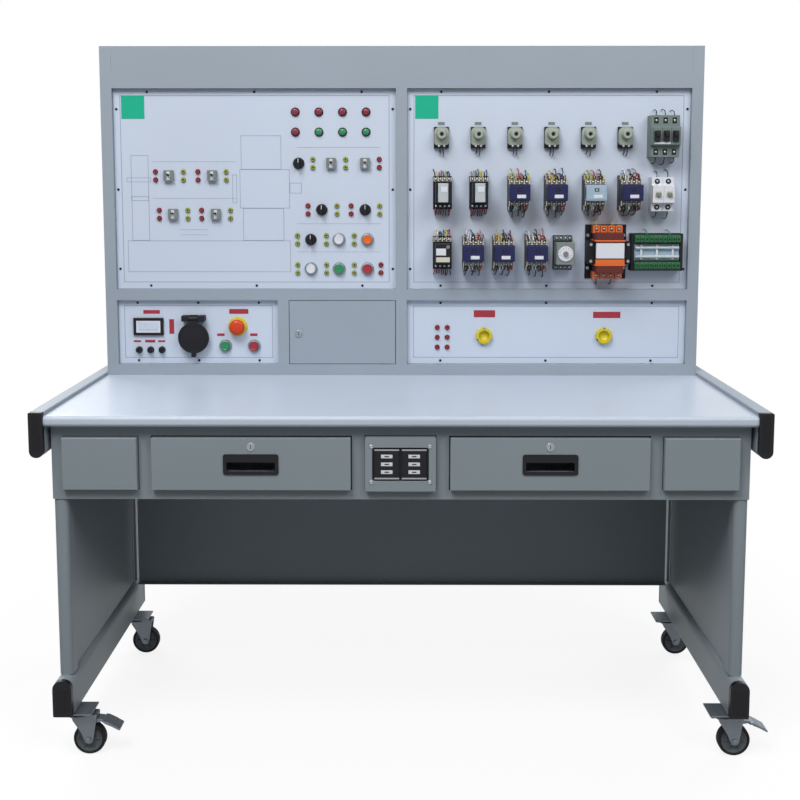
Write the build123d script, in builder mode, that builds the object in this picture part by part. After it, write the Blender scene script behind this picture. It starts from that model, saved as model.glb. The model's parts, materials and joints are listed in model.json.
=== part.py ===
"""Electrical skills training bench: a desk on casters that carries a switchgear cabinet.

Millimetres. +X is to the right, +Y is to the back and +Z is up. The origin is on the floor,
under the middle of the desk.
"""
import os
from build123d import *

# Desk
desk_width = 1600.0
desk_depth = 740.0
desk_height = 810.0
board_thick = 25.0
board_nose = 9.0
board_rebate = 1.0
sheet = 2.0
running = 0.05
slide_gap = 0.3
fine_sides = 20
plain_sides = 12
small_sides = 8

# Side frames and rails
column_width = 32.0
column_depth = 42.0
column_inset = 8.0
tube_wall = 2.0
foot_rail_width = 44.0
foot_rail_height = 86.0
foot_rail_rear = 50.0
foot_rail_in = 6.0
side_rail_width = 32.0
side_rail_height = 103.0
side_rail_rise = 9.0
cap_thick = 14.0
cap_plug = 12.0
plug_inset = tube_wall + slide_gap
rail_set_in = 6.0
web_thick = 18.0
column_rear_gap = 6.0
modesty_fold = 22.0
modesty_lap = 4.0
fold_radius = 3.0

# Apron and drawers
apron_height = 172.0
apron_setback = 28.0
apron_return = 24.0
drawer_gap = 32.5
drawer_height = 120.0
drawer_drop = 1.0
front_thick = 16.0
cutout_margin = 12.0
tray_depth = 450.0
tray_height = 88.0
tray_wall = 1.5
runner_space = 12.0
runner_height = 34.0
runner_lip = 7.0
runner_set_back = 2.0
runner_rear_gap = 4.0
housing_rear_gap = 12.0
front_edge = 1.5
drawer_travel = 340.0
blank_width = 170.0
blank_inset = 120.0
handle_width = 125.0
handle_height = 47.0
handle_rim = 6.0
handle_depth = 13.0
handle_proud = 2.5
handle_wall = 2.0
handle_lip = 2.5
handle_corner = 5.0
lock_radius = 8.0
lock_rise = 40.0
lock_tail = 6.0
lock_rim = 2.0
outlet_width = 160.0
outlet_height = 124.0
back_box_depth = 40.0
module_width = 56.0
module_pitch = 62.0
module_sunk = 2.5
module_margin = 8.0
well_width = 128.0
well_height = 78.0
well_depth = 8.0
pin_slot = (9.5, 3.0)
pin_slot_depth = 4.0
pin_pitch = 18.0

# Casters
caster_height = 108.0
wheel_radius = 37.5
wheel_width = 25.0
trail = 25.0
caster_inset_x = 48.0
caster_front = 42.0
caster_rear = 600.0
axle_radius = 4.0
kingpin_radius = 5.0
fork_plate = 2.5
crown_radius = 24.0
crown_thick = 6.0
plate_length = 76.0
plate_width = 64.0
plate_thick = 4.0
race_radius = 22.0
race_depth = 5.0
kingpin_end = 3.0
cheek_foot = 11.0
cheek_play = 1.0
cheek_rear = 14.0
cheek_front = 20.0
crown_reach = 22.0
bolt_head = 4.0
bolt_radius = 6.5
dish = 3.0
tread = 8.0
hub_flange = 9.0
wheel_sides = 32
pedal_pivot = (12.0, 46.0)
pedal_pin = 3.0
pedal_width = 40.0
pedal_arm = ((0.0, 5.0), (22.0, 3.0), (30.0, -6.0), (24.0, -7.0), (18.0, -2.0), (0.0, -5.0))
pedal_tread = ((22.0, 3.0), (30.0, 1.0), (63.0, -17.0), (63.0, -22.0), (28.0, -7.0), (24.0, -6.0))
hub_radius = 5.0
shoe_reach = 9.0
shoe_width = 6.0

# Cabinet
cabinet_height = 880.0
cabinet_depth = 200.0
post = 30.0
header_height = 80.0
base_rail = 30.0
lower_opening = 175.0
power_width = 435.0
recess = 14.0
rim_lap = 10.0
tub_depth = 100.0
tub_gap = 2.0
board_inset = 8.0
board_sheet = 3.0
switch_size = (13.0, 6.0, 20.0)
switch_pitch = (36.0, 52.0)
switch_lever = 4.0
lever_outline = ((0.0, -2.0), (0.0, 3.0), (12.0, 9.0), (13.0, 6.0))
panel_gap = 0.5
header_inset = 1.0
door_gap = 1.5
door_lock_inset = 26.0
door_lock_drop = 4.0
door_fold = 10.0
door_set_back = 1.5
hinge_inset = 5.0
hinge_pin = 2.0
hinge_edge = 3.2
pin_length = 9.0
boss_length = 10.0
louvre_count = 6
louvre_size = (90.0, 5.0)
louvre_pitch = 16.0
louvre_drop = 90.0
gland_inset = 90.0
gland_rise = 70.0
gland_radius = 14.0
gland_nut = 11.0
gland_bore = 7.0
gland_depth = (6.0, 14.0)

# Panel devices
collar_radius = 17.5
collar_depth = 9.0
cap_radius = 12.5
button_travel = 4.0
button_proud = 5.0
selector_radius = 15.5
selector_depth = 7.0
toggle_width = 30.0
toggle_height = 33.0
toggle_depth = 11.0
toggle_slot = 8.0
toggle_tilt = 12.0
jack_radius = 7.0
jack_depth = 6.0
jack_spread = 10.8
lamp_radius = 12.0
lamp_depth = 9.0
estop_radius = 21.0
estop_ring = 26.0
estop_travel = 5.0
lid_radius = 42.0
lid_thick = 6.0
lid_tab = (13.0, 14.0)
lid_pin = 2.0
knuckle_radius = 6.0
knuckle_width = 24.0
hinge_rise = 50.0
hinge_block_width = 63.0
socket_radius = 38.0
socket_proud = 16.0
socket_wall = 4.0
cavity_depth = 34.0
contact_radius = 3.0
connector_radius = 22.0
connector_depth = 12.0
connector_well = (14.0, 9.0)
connector_core = (10.0, 6.0)
connector_notch = 7.0
meter_size = (82.0, 48.0)
meter_proud = 7.0
meter_case_depth = 60.0
meter_border = (8.0, 7.5)
grip_width = 6.0
grip_depth = 9.0
knob_base = 4.0
lever_radius = 3.5
lever_length = 18.0
lever_thick = 4.0
estop_crown = 15.0

# Devices on the component panel: (width, depth, height) boxes, and (half height, depth) steps
fuse_base = (40.0, 22.0, 57.0)
fuse_cap = (15.0, 20.0)
fuse_cap_rise = 8.0
small_fuse = (9.5, 14.0)
motor_breaker_width = 76.0
motor_breaker_steps = ((56.0, 0.0), (56.0, 46.0), (24.0, 46.0), (22.0, 66.0))
rocker = (14.0, 8.0, 22.0)
rocker_pitch = 24.0
rail_breaker_width = 58.0
rail_breaker_steps = ((45.0, 0.0), (45.0, 44.0), (23.0, 44.0), (23.0, 62.0))
rail_breaker_lever = (40.0, 8.0, 10.0)
contactor_width = 54.0
contactor_steps = ((46.0, 0.0), (46.0, 34.0), (36.0, 34.0), (36.0, 56.0), (22.0, 56.0), (20.0, 84.0))
relay_base = (50.0, 24.0, 88.0)
relay_cover = (40.0, 56.0, 52.0)
timer_base = (50.0, 24.0, 92.0)
timer_body = (48.0, 52.0, 58.0)
timer_dial = (20.0, 3.0)
timer_knob = (7.0, 7.0)
core_foot = (110.0, 4.0, 146.0)
core_size = (112.0, 60.0, 60.0)
coil_size = (70.0, 74.0, 24.0)
coil_rise = 42.0
coil_front = (70.0, 14.0, 60.0)
core_terminals = (80.0, 20.0, 16.0)
core_terminal_rise = 63.0
carrier_size = (138.0, 36.0, 100.0)
carrier_well = (126.0, 7.0, 44.0)
carrier_terminals = (120.0, 14.0, 20.0)
carrier_terminal_rise = 36.0

# Places on the front of the desk and the cabinet, worked out from the sizes above
front = -desk_depth / 2
back = desk_depth / 2
side = desk_width / 2
board_bottom = desk_height - board_thick
apron_bottom = board_bottom - apron_height
apron_front = front + apron_setback
column_out = side - column_inset
column_in = column_out - column_width
web_x = (column_out + column_in) / 2
foot_bottom = caster_height
foot_top = foot_bottom + foot_rail_height
drawer_z = board_bottom - apron_height / 2 - drawer_drop
blank_centre = side - blank_inset
drawer_inner = outlet_width / 2 + drawer_gap
drawer_outer = blank_centre - blank_width / 2 - drawer_gap
drawer_width = drawer_outer - drawer_inner
drawer_centre = (drawer_inner + drawer_outer) / 2
tray_width = drawer_width - 2 * cutout_margin - 2 * runner_space
cab_front = back - cabinet_depth
race_bottom = foot_bottom - plate_thick - race_depth
crown_top = race_bottom - slide_gap
crown_bottom = crown_top - crown_thick
kingpin_bottom = crown_bottom - kingpin_end
cabinet_foot = desk_height - board_rebate
cabinet_top = desk_height + cabinet_height
panel_face = cab_front + recess
opening_width = (desk_width - 3 * post) / 2
upper_opening = cabinet_height - header_height - 2 * post - base_rail - lower_opening
lower_z = desk_height + base_rail + lower_opening / 2
upper_z = desk_height + base_rail + lower_opening + post + upper_opening / 2
right_x = (post + opening_width) / 2
left_x = -right_x
fault_width = opening_width - post - power_width
power_x = -side + post + power_width / 2
fault_x = power_x + power_width / 2 + post + fault_width / 2
caster_x = side - caster_inset_x
lower_top = lower_z + lower_opening / 2
lower_bottom = lower_z - lower_opening / 2
upper_top = upper_z + upper_opening / 2
upper_bottom = upper_z - upper_opening / 2
front_caster_y = front + caster_front
rear_caster_y = front + caster_rear

# Layout of the diagram panel, drawn on a panel of this size and measured from its middle
upper_layout = (755.0, 535.0)
lamp_columns = (109.0, 172.0, 235.0, 298.0)
lamp_rows = (206.0, 153.0)
lamp_places = [(x, z) for z in lamp_rows for x in lamp_columns]
toggle_places = [
    (-232.0, 37.0), (-115.0, 37.0), (-222.0, -66.0), (-107.0, -66.0), (204.0, 70.0), (295.0, 70.0),
]
selector_places = [(117.0, 70.0), (178.0, -54.0), (295.0, -54.0), (148.0, -134.0)]
button_places = [
    (224.0, -134.0), (301.0, -134.0), (148.0, -213.0), (224.0, -213.0), (301.0, -213.0),
]
jack_columns = [
    (-268.0, 37.0), (-193.0, 37.0), (-154.0, 37.0), (-78.0, 37.0), (-260.0, -66.0),
    (-183.0, -66.0), (-146.0, -66.0), (-68.0, -66.0), (155.0, 70.0), (243.0, 70.0),
    (333.0, 70.0), (141.0, -54.0), (219.0, -54.0), (257.0, -54.0), (334.0, -54.0),
    (112.0, -134.0), (190.0, -134.0), (265.0, -134.0), (112.0, -213.0), (190.0, -213.0),
    (265.0, -213.0), (337.0, -213.0),
]

# Layout of the component panel, drawn on a panel of the same size
fuse_columns = (-286.0, -188.0, -90.0, 8.0, 106.0, 204.0)
fuse_row = 138.0
fuse_places = [(x, fuse_row) for x in fuse_columns]
contactor_places = [
    (-82.0, -8.0), (16.0, -8.0), (118.0, -8.0), (213.0, -8.0), (-202.0, -168.0),
    (-121.0, -168.0), (-34.0, -168.0),
]
relay_places = [(-283.0, -8.0), (-186.0, -8.0), (-283.0, -168.0)]
motor_breaker_place = (301.0, 140.0)
rail_breaker_place = (298.0, -12.0)
timer_place = (40.0, -168.0)
carrier_place = (289.0, -166.0)
carrier_gap = 7.0

# Layout of the output panel, drawn on a panel of this size, and of the power panel
output_layout = (755.0, 175.0)
output_jack_columns = (-295.0, -268.0)
output_jack_rows = (12.0, -15.0, -42.0)
output_jacks = [(x, z) for x in output_jack_columns for z in output_jack_rows]
output_connectors = [(-168.0, -10.0), (157.0, -10.0)]
power_layout = (435.0, 175.0)
power_fuse_columns = (-163.0, -132.0, -101.0)
power_fuse_row = -50.0
power_fuses = [(x, power_fuse_row) for x in power_fuse_columns]
meter_place = (-136.0, 14.0)
estop_place = (107.0, 14.0)
start_place = (73.0, -39.0)
stop_place = (151.0, -39.0)
socket_place = (-11.0, -12.0)


os.makedirs("parts", exist_ok=True)


def save(shape, name):
    """Label a finished piece and write it as one STEP file."""
    shape.label = name
    export_step(shape, f"parts/{name}.step")


def group(name, pieces):
    """Write separate solids that share one node."""
    save(Compound(label=name, children=list(pieces)), name)


def block(x, y, z):
    """A plain plate or bar between two values on each axis."""
    with BuildPart() as bar:
        with Locations(((x[0] + x[1]) / 2, (y[0] + y[1]) / 2, (z[0] + z[1]) / 2)):
            Box(x[1] - x[0], y[1] - y[0], z[1] - z[0])
    return bar.part


def facing(y):
    """The plane at depth y that looks out of the front, with x to the right and z up."""
    return Plane(origin=(0, y, 0), x_dir=(1, 0, 0), z_dir=(0, -1, 0))


def on_panel(places, opening, layout):
    """Row coordinates of a layout's places, spread over the panel that fills an opening."""
    centre_x, centre_z, width, height = opening
    return [
        (centre_x + x * width / layout[0], centre_z + z * height / layout[1]) for x, z in places
    ]


def disc(x, z, y, radius, depth, bore=0.0, sides=plain_sides):
    """A small round body that stands out to the front of depth y, turned with a few flats."""
    with BuildPart() as body:
        with BuildSketch(facing(y)):
            with Locations((x, z)):
                RegularPolygon(radius, sides)
                if bore:
                    RegularPolygon(bore, sides, mode=Mode.SUBTRACT)
        extrude(amount=depth)
    return body.part


def mirrored(shape):
    return mirror(shape, about=Plane.YZ)


# Desk board with a rounded front edge and a shallow rebate that the cabinet stands in
with BuildPart() as desk_top:
    with BuildSketch(Plane.YZ.offset(-side)) as board_section:
        with Locations((0, desk_height - board_thick / 2)):
            Rectangle(desk_depth, board_thick)
        fillet(board_section.vertices().group_by(Axis.X)[0], board_nose)
        with Locations((cab_front - slide_gap, cabinet_foot)):
            Rectangle(
                cabinet_depth + slide_gap, board_rebate,
                align=(Align.MIN, Align.MIN), mode=Mode.SUBTRACT,
            )
    extrude(amount=desk_width)
save(desk_top.part, "desk_top")


def rail_flat(width, height, turn, inset=0.0):
    """A rail's outline, square at one end and rounded at the other with a few flats."""
    half, low = width / 2 - inset, inset - height / 2
    bend = half - 1.0
    short, long = bend * 0.134, bend * 0.5
    with BuildSketch() as outline:
        Polygon(
            (-half, -low), (half, -low), (half, low + bend), (half - short, low + long),
            (half - long, low + short), (half - bend, low), (bend - half, low),
            (long - half, low + short), (short - half, low + long), (-half, low + bend),
            align=None,
        )
    return outline.sketch.rotate(Axis.Z, turn)


def rail_tube(width, height, turn, centre, y0, y1):
    """A hollow rail that runs from y0 back to y1; a turn of 180 puts its round end above."""
    with BuildPart() as tube:
        with BuildSketch(facing(y1)):
            with Locations(centre):
                add(rail_flat(width, height, turn))
                add(rail_flat(width, height, turn, tube_wall), mode=Mode.SUBTRACT)
        extrude(amount=y1 - y0)
    return tube.part


def rail_cap(width, height, turn, centre, y, direction):
    """An end cap with a plug that goes into the rail; direction is -1 at the front."""
    with BuildPart() as cap:
        with BuildSketch(facing(y)):
            with Locations(centre):
                add(rail_flat(width, height, turn))
        extrude(amount=-direction * cap_thick)
        with BuildSketch(facing(y)):
            with Locations(centre):
                Rectangle(width - 2 * plug_inset, height - 2 * plug_inset - width)
        extrude(amount=direction * cap_plug)
    return cap.part


# Side rails, end caps and the two side frames
rail_x = side + side_rail_width / 2
rail_z = desk_height + side_rail_rise - side_rail_height / 2
rail_front = front + cap_thick - rail_set_in
rail_rear = back
foot_x = column_in + foot_rail_width / 2 - foot_rail_in
foot_z = foot_bottom + foot_rail_height / 2
foot_rear = back - foot_rail_rear
side_rail = (side_rail_width, side_rail_height, 0, (rail_x, rail_z))
lower_rail = (foot_rail_width, foot_rail_height, 180, (foot_x, foot_z))
top_rail = rail_tube(*side_rail, rail_front, rail_rear)
group("side_rails", [top_rail, mirrored(top_rail)])

caps = []
for rail, ends in ((side_rail, (rail_front, rail_rear)), (lower_rail, (rail_front, foot_rear))):
    for y, direction in zip(ends, (-1, 1)):
        caps.append(rail_cap(*rail, y, direction))
        caps.append(mirrored(caps[-1]))
group("end_caps", caps)


def column(y, end):
    """A leg column with its outer corners cut back, standing on the foot rail."""
    with BuildPart() as leg:
        with BuildSketch(Plane.XY.offset(foot_top)):
            with Locations((web_x, y)):
                add(column_flat(end))
        extrude(amount=board_bottom - foot_top)
    return leg.part


def column_flat(end):
    """The column's section, with the two corners on its exposed end cut back."""
    with BuildSketch() as outline:
        Rectangle(column_width, column_depth)
        exposed = outline.vertices().group_by(Axis.Y)[0 if end < 0 else -1]
        chamfer(exposed, column_width / 4)
    return outline.sketch


def caster_plate(y):
    """The mounting plate, the fixed race and the kingpin of one caster."""
    with BuildPart() as plate:
        with Locations((caster_x, y, foot_bottom - plate_thick / 2)):
            Box(plate_length, plate_width, plate_thick)
        with BuildSketch(Plane.XY.offset(foot_bottom - plate_thick)):
            with Locations((caster_x, y)):
                RegularPolygon(race_radius, fine_sides)
        extrude(amount=-race_depth)
        with BuildSketch(Plane.XY.offset(race_bottom)):
            with Locations((caster_x, y)):
                Circle(kingpin_radius)
        extrude(amount=race_bottom - kingpin_bottom, dir=(0, 0, -1))
    return plate.part


column_front_y = apron_front + sheet + column_depth / 2
column_rear_y = foot_rear - column_depth / 2 - column_rear_gap
foot_rail = rail_tube(*lower_rail, rail_front, foot_rear)
web = block(
    (web_x - web_thick / 2, web_x + web_thick / 2),
    (column_front_y + column_depth / 2, column_rear_y - column_depth / 2),
    (foot_top, board_bottom),
)
right_frame = [column(column_front_y, -1), column(column_rear_y, 1), web, foot_rail]
right_frame += [caster_plate(front_caster_y), caster_plate(rear_caster_y)]
group("side_panel_right", right_frame)
group("side_panel_left", [mirrored(piece) for piece in right_frame])


# Modesty panel: one folded sheet between the side frames
modesty_front = column_rear_y - column_depth / 2
modesty_bottom = foot_top - modesty_lap
modesty_half = foot_x - foot_rail_width / 2
with BuildPart() as modesty_panel:
    with BuildSketch(Plane.YZ.offset(-modesty_half)):
        with BuildLine():
            FilletPolyline(
                (modesty_front - modesty_fold, modesty_bottom),
                (modesty_front, modesty_bottom),
                (modesty_front, board_bottom),
                (modesty_front - modesty_fold, board_bottom),
                radius=fold_radius,
            )
            offset(amount=sheet, side=Side.LEFT)
        make_face()
    extrude(amount=2 * modesty_half)
save(modesty_panel.part, "modesty_panel")


def apron_front_sheet():
    """The folded front sheet of the desk, cut out for the drawers and the outlet bank."""
    with BuildPart() as front_sheet:
        with BuildSketch(facing(apron_front + sheet)):
            with Locations((0, board_bottom - apron_height / 2)):
                Rectangle(2 * column_out, apron_height)
            with Locations((-drawer_centre, drawer_z), (drawer_centre, drawer_z)):
                Rectangle(
                    drawer_width - 2 * cutout_margin,
                    drawer_height - 2 * cutout_margin,
                    mode=Mode.SUBTRACT,
                )
            with Locations((0, drawer_z)):
                Rectangle(
                    outlet_width - 2 * cutout_margin,
                    outlet_height - 2 * cutout_margin,
                    mode=Mode.SUBTRACT,
                )
        extrude(amount=sheet)
        with BuildSketch(facing(apron_front + sheet)):
            with Locations((0, apron_bottom + sheet / 2)):
                Rectangle(2 * (column_in - slide_gap), sheet)
        extrude(amount=-apron_return)
    return front_sheet.part


# Apron with its two blank fronts
fronts_face = apron_front - slide_gap - front_thick


def blank_front(centre_x):
    """A fixed front that fills the end of the apron and is screwed flat to it."""
    with BuildPart() as panel:
        with BuildSketch(facing(apron_front)):
            with Locations((centre_x, drawer_z)):
                Rectangle(blank_width, drawer_height)
        extrude(amount=apron_front - fronts_face)
        chamfer(panel.faces().sort_by(Axis.Y)[0].edges(), front_edge)
    return panel.part


group("apron", [apron_front_sheet(), blank_front(-blank_centre), blank_front(blank_centre)])


# Housing that carries the drawers on fixed runners
housing_inner = tray_width / 2 + runner_space
housing_bottom = drawer_z - drawer_height / 2 + cutout_margin - sheet
housing_rear = apron_front + sheet + tray_depth + housing_rear_gap
runner_front = apron_front + sheet + runner_set_back


def drawer_housing(centre_x):
    """A folded sheet that hangs from the desk board around one drawer."""
    with BuildPart() as housing:
        with BuildSketch(facing(housing_rear)):
            with Locations((centre_x, (board_bottom + housing_bottom) / 2)):
                Rectangle(2 * housing_inner + 2 * sheet, board_bottom - housing_bottom)
            with Locations((centre_x, (board_bottom + housing_bottom) / 2 + sheet / 2)):
                Rectangle(2 * housing_inner, board_bottom - housing_bottom - sheet, mode=Mode.SUBTRACT)
        extrude(amount=housing_rear - apron_front - sheet)
    return housing.part


def fixed_runner(centre_x, hand):
    """The outer member of a drawer slide: a channel that is open towards the tray."""
    outer = centre_x + hand * housing_inner
    with BuildPart() as runner:
        with BuildSketch(facing(housing_rear - runner_rear_gap)):
            with Locations((outer - hand * runner_lip / 2, drawer_z)):
                Rectangle(runner_lip, runner_height)
            with Locations((outer - hand * (runner_lip / 2 + sheet / 2), drawer_z)):
                Rectangle(runner_lip - sheet, runner_height - 2 * sheet, mode=Mode.SUBTRACT)
        extrude(amount=housing_rear - runner_rear_gap - runner_front)
    return runner.part


carcass = []
for centre_x in (-drawer_centre, drawer_centre):
    carcass.append(drawer_housing(centre_x))
    carcass += [fixed_runner(centre_x, hand) for hand in (-1, 1)]
group("drawer_carcass", carcass)


# Drawers: tray, front, handle, lock and inner runners
tray_bottom = drawer_z - tray_height / 2
tray_front = fronts_face + front_thick


def drawer_tray(centre_x):
    """A folded tray that is open above and closed in front by the drawer front."""
    with BuildPart() as tray:
        with Locations((centre_x, tray_front + tray_depth / 2, drawer_z)):
            Box(tray_width, tray_depth, tray_height)
        with Locations((centre_x, tray_front + (tray_depth - tray_wall) / 2, drawer_z + tray_wall)):
            Box(
                tray_width - 2 * tray_wall, tray_depth - tray_wall, tray_height,
                mode=Mode.SUBTRACT,
            )
    return tray.part


def drawer_front(centre_x):
    """The drawer front, cut out for the handle cup and bored for the lock."""
    with BuildPart() as panel:
        with BuildSketch(facing(tray_front)):
            with Locations((centre_x, drawer_z)):
                Rectangle(drawer_width, drawer_height)
                Rectangle(
                    handle_width - 2 * handle_rim, handle_height - 2 * handle_rim,
                    mode=Mode.SUBTRACT,
                )
            with Locations((centre_x, drawer_z + lock_rise)):
                RegularPolygon(lock_radius, plain_sides, mode=Mode.SUBTRACT)
        extrude(amount=front_thick)
        chamfer(panel.faces().sort_by(Axis.Y)[0].outer_wire().edges(), front_edge)
    return panel.part


def handle_flat():
    """The rim of the pull, with its corners cut back."""
    with BuildSketch() as outline:
        Rectangle(handle_width, handle_height)
        chamfer(outline.vertices(), handle_corner)
    return outline.sketch


def drawer_handle(centre_x):
    """A moulded recessed pull: a rim, a cup and an overhanging lip to hook fingers behind."""
    with BuildPart() as handle:
        with BuildSketch(facing(fronts_face)):
            with Locations((centre_x, drawer_z)):
                add(handle_flat())
        extrude(amount=handle_proud)
        with BuildSketch(facing(fronts_face)):
            with Locations((centre_x, drawer_z)):
                Rectangle(handle_width - 2 * handle_rim, handle_height - 2 * handle_rim)
        extrude(amount=-(handle_depth + handle_wall))
        with BuildSketch(facing(fronts_face + handle_depth)):
            with Locations((centre_x, drawer_z)):
                Rectangle(cup_width, cup_height)
        extrude(amount=handle_depth - handle_lip, mode=Mode.SUBTRACT)
        with BuildSketch(facing(fronts_face + handle_depth)):
            with Locations((centre_x, drawer_z - cup_height / 6)):
                Rectangle(cup_width, cup_height * 2 / 3)
        extrude(amount=handle_depth + handle_proud, mode=Mode.SUBTRACT)
    return handle.part


def drawer_lock(centre_x):
    """A cam lock: cylinder, rim and a tongue that points sideways when it is open."""
    z = drawer_z + lock_rise
    with BuildPart() as lock:
        with BuildSketch(facing(tray_front + lock_tail)):
            with Locations((centre_x, z)):
                RegularPolygon(lock_radius, plain_sides)
        extrude(amount=front_thick + lock_tail)
        with BuildSketch(facing(fronts_face)):
            with Locations((centre_x, z)):
                RegularPolygon(lock_radius + lock_rim, plain_sides)
        extrude(amount=front_edge)
        with BuildSketch(facing(tray_front + lock_tail)):
            with Locations((centre_x - lock_radius, z)):
                Rectangle(4 * lock_radius, lock_radius)
        extrude(amount=-sheet)
    return lock.part


def inner_runner(centre_x, hand):
    """The bar fixed to the tray, which slides inside the lips of the fixed runner."""
    reach = runner_space - sheet - slide_gap
    middle = centre_x + hand * (tray_width + reach) / 2
    with BuildPart() as runner:
        with Locations((middle, runner_front + runner_length / 2, drawer_z)):
            Box(reach, runner_length, runner_height - 2 * sheet - 2 * slide_gap)
    return runner.part


cup_width = handle_width - 2 * handle_rim - 2 * handle_wall
cup_height = handle_height - 2 * handle_rim - 2 * handle_wall
runner_length = housing_rear - runner_rear_gap - runner_front - 2 * housing_rear_gap
for name, centre_x in (("drawer_left", -drawer_centre), ("drawer_right", drawer_centre)):
    pieces = [drawer_front(centre_x), drawer_tray(centre_x), drawer_handle(centre_x)]
    pieces.append(drawer_lock(centre_x))
    pieces += [inner_runner(centre_x, hand) for hand in (-1, 1)]
    group(name, pieces)


# Outlet bank: bezel, two modules and a back box
bezel_front = fronts_face
box_half_width = outlet_width / 2 - cutout_margin - cheek_play
box_half_height = outlet_height / 2 - cutout_margin - cheek_play


def outlet_bezel():
    """A square-edged bezel with a sunk well for the socket modules."""
    with BuildPart() as bezel:
        with BuildSketch(facing(apron_front)):
            with Locations((0, drawer_z)):
                Rectangle(outlet_width, outlet_height)
        extrude(amount=apron_front - bezel_front)
        with BuildSketch(facing(bezel_front + well_depth)):
            with Locations((0, drawer_z)):
                Rectangle(well_width, well_height)
        extrude(amount=well_depth, mode=Mode.SUBTRACT)
    return bezel.part


def outlet_module(x):
    """One socket module with three rows of flat contact slots."""
    with BuildPart() as module:
        with BuildSketch(facing(bezel_front + well_depth)):
            with Locations((x, drawer_z)):
                Rectangle(module_width, well_height - module_margin)
        extrude(amount=well_depth - module_sunk)
        with BuildSketch(facing(bezel_front + module_sunk)):
            with Locations((x, drawer_z)):
                with GridLocations(1.0, pin_pitch, 1, 3):
                    Rectangle(*pin_slot)
        extrude(amount=-pin_slot_depth, mode=Mode.SUBTRACT)
    return module.part


back_box = block(
    (-box_half_width, box_half_width),
    (apron_front, apron_front + back_box_depth),
    (drawer_z - box_half_height, drawer_z + box_half_height),
)
modules = [outlet_module(x) for x in (-module_pitch / 2, module_pitch / 2)]
group("outlet_bank", [outlet_bezel(), back_box] + modules)


# Casters
axle_z = wheel_radius
cheek_inner = wheel_width / 2 + cheek_play
cheek_outer = cheek_inner + fork_plate


def caster_fork(x, y):
    """Swivel fork: a crown and two cheeks that trail back to the axle."""
    wheel_x = x + trail
    with BuildPart() as fork:
        with BuildSketch(Plane.XY.offset(crown_bottom)):
            with Locations((x, y)):
                RegularPolygon(crown_radius, fine_sides)
            with Locations((x + trail / 2, y)):
                Rectangle(trail + crown_reach, 2 * cheek_outer)
            with Locations((x, y)):
                Circle(kingpin_radius + running, mode=Mode.SUBTRACT)
        extrude(amount=crown_thick)
        for cheek_y in (y - cheek_inner, y + cheek_outer):
            with BuildSketch(facing(cheek_y)):
                with BuildLine():
                    Polyline(
                        (x - cheek_rear, crown_top), (x + trail + cheek_front, crown_top),
                        (wheel_x + cheek_foot, axle_z), (wheel_x + cheek_foot / 2, axle_z - cheek_foot),
                        (wheel_x - cheek_foot / 2, axle_z - cheek_foot), (wheel_x - cheek_foot, axle_z),
                        close=True,
                    )
                make_face()
            extrude(amount=fork_plate)
    return fork.part


def axle_parts(x, y):
    """The sleeve that the wheel turns on, clamped between the cheeks, and the bolt's two ends."""
    with BuildPart() as sleeve:
        with BuildSketch(facing(y + cheek_inner)):
            with Locations((x + trail, axle_z)):
                Circle(axle_radius)
        extrude(amount=2 * cheek_inner)
    ends = [
        disc(x + trail, axle_z, end_y, bolt_radius, bolt_head, sides=6)
        for end_y in (y + cheek_outer + bolt_head, y - cheek_outer)
    ]
    return [sleeve.part] + ends


def caster_wheel(x, y):
    """Wheel with a many-sided tread, sides sunk inside the tyre and a bored hub."""
    half = wheel_width / 2
    with BuildPart() as wheel:
        with BuildSketch(facing(y + half)):
            with Locations((x + trail, axle_z)):
                RegularPolygon(wheel_radius, wheel_sides)
                Circle(axle_radius + running, mode=Mode.SUBTRACT)
        extrude(amount=wheel_width)
        for side_y, inward in ((y - half, 1), (y + half, -1)):
            with BuildSketch(facing(side_y)):
                with Locations((x + trail, axle_z)):
                    RegularPolygon(wheel_radius - tread, small_sides)
                    RegularPolygon(hub_flange, small_sides, mode=Mode.SUBTRACT)
            extrude(amount=-inward * dish, mode=Mode.SUBTRACT)
    return wheel.part


def brake_pedal(x, y):
    """Foot pedal on a hub between the cheeks, with a shoe that meets the tread."""
    px, pz = x + trail + pedal_pivot[0], axle_z + pedal_pivot[1]
    with BuildPart() as pedal:
        with BuildSketch(facing(y + cheek_inner - slide_gap)):
            with Locations((px, pz)):
                RegularPolygon(hub_radius, small_sides)
            with Locations((px, pz - shoe_reach / 2)):
                Rectangle(shoe_width, shoe_reach)
            with BuildLine():
                Polyline(
                    *((px + x, pz + z) for x, z in pedal_arm), close=True,
                )
            make_face()
            with Locations((px, pz)):
                Circle(pedal_pin + running, mode=Mode.SUBTRACT)
        extrude(amount=2 * (cheek_inner - slide_gap))
        with BuildSketch(facing(y + pedal_width / 2)):
            with BuildLine():
                Polyline(
                    *((px + x, pz + z) for x, z in pedal_tread), close=True,
                )
            make_face()
        extrude(amount=pedal_width)
    return pedal.part


def pedal_pin_solid(x, y):
    """The pin between the cheeks that the pedal turns on."""
    with BuildPart() as pin:
        with BuildSketch(facing(y + cheek_inner)):
            with Locations((x + trail + pedal_pivot[0], axle_z + pedal_pivot[1])):
                Circle(pedal_pin)
        extrude(amount=2 * cheek_inner)
    return pin.part


for place, x, y in (
    ("front_left", -caster_x, front_caster_y), ("front_right", caster_x, front_caster_y),
    ("rear_left", -caster_x, rear_caster_y), ("rear_right", caster_x, rear_caster_y),
):
    fork_pieces = [caster_fork(x, y)] + axle_parts(x, y)
    if y == front_caster_y:
        fork_pieces.append(pedal_pin_solid(x, y))
    group(f"caster_fork_{place}", fork_pieces)
    save(caster_wheel(x, y), f"caster_wheel_{place}")
for place, x in (("left", -caster_x), ("right", caster_x)):
    save(brake_pedal(x, front_caster_y), f"brake_pedal_{place}")


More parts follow.
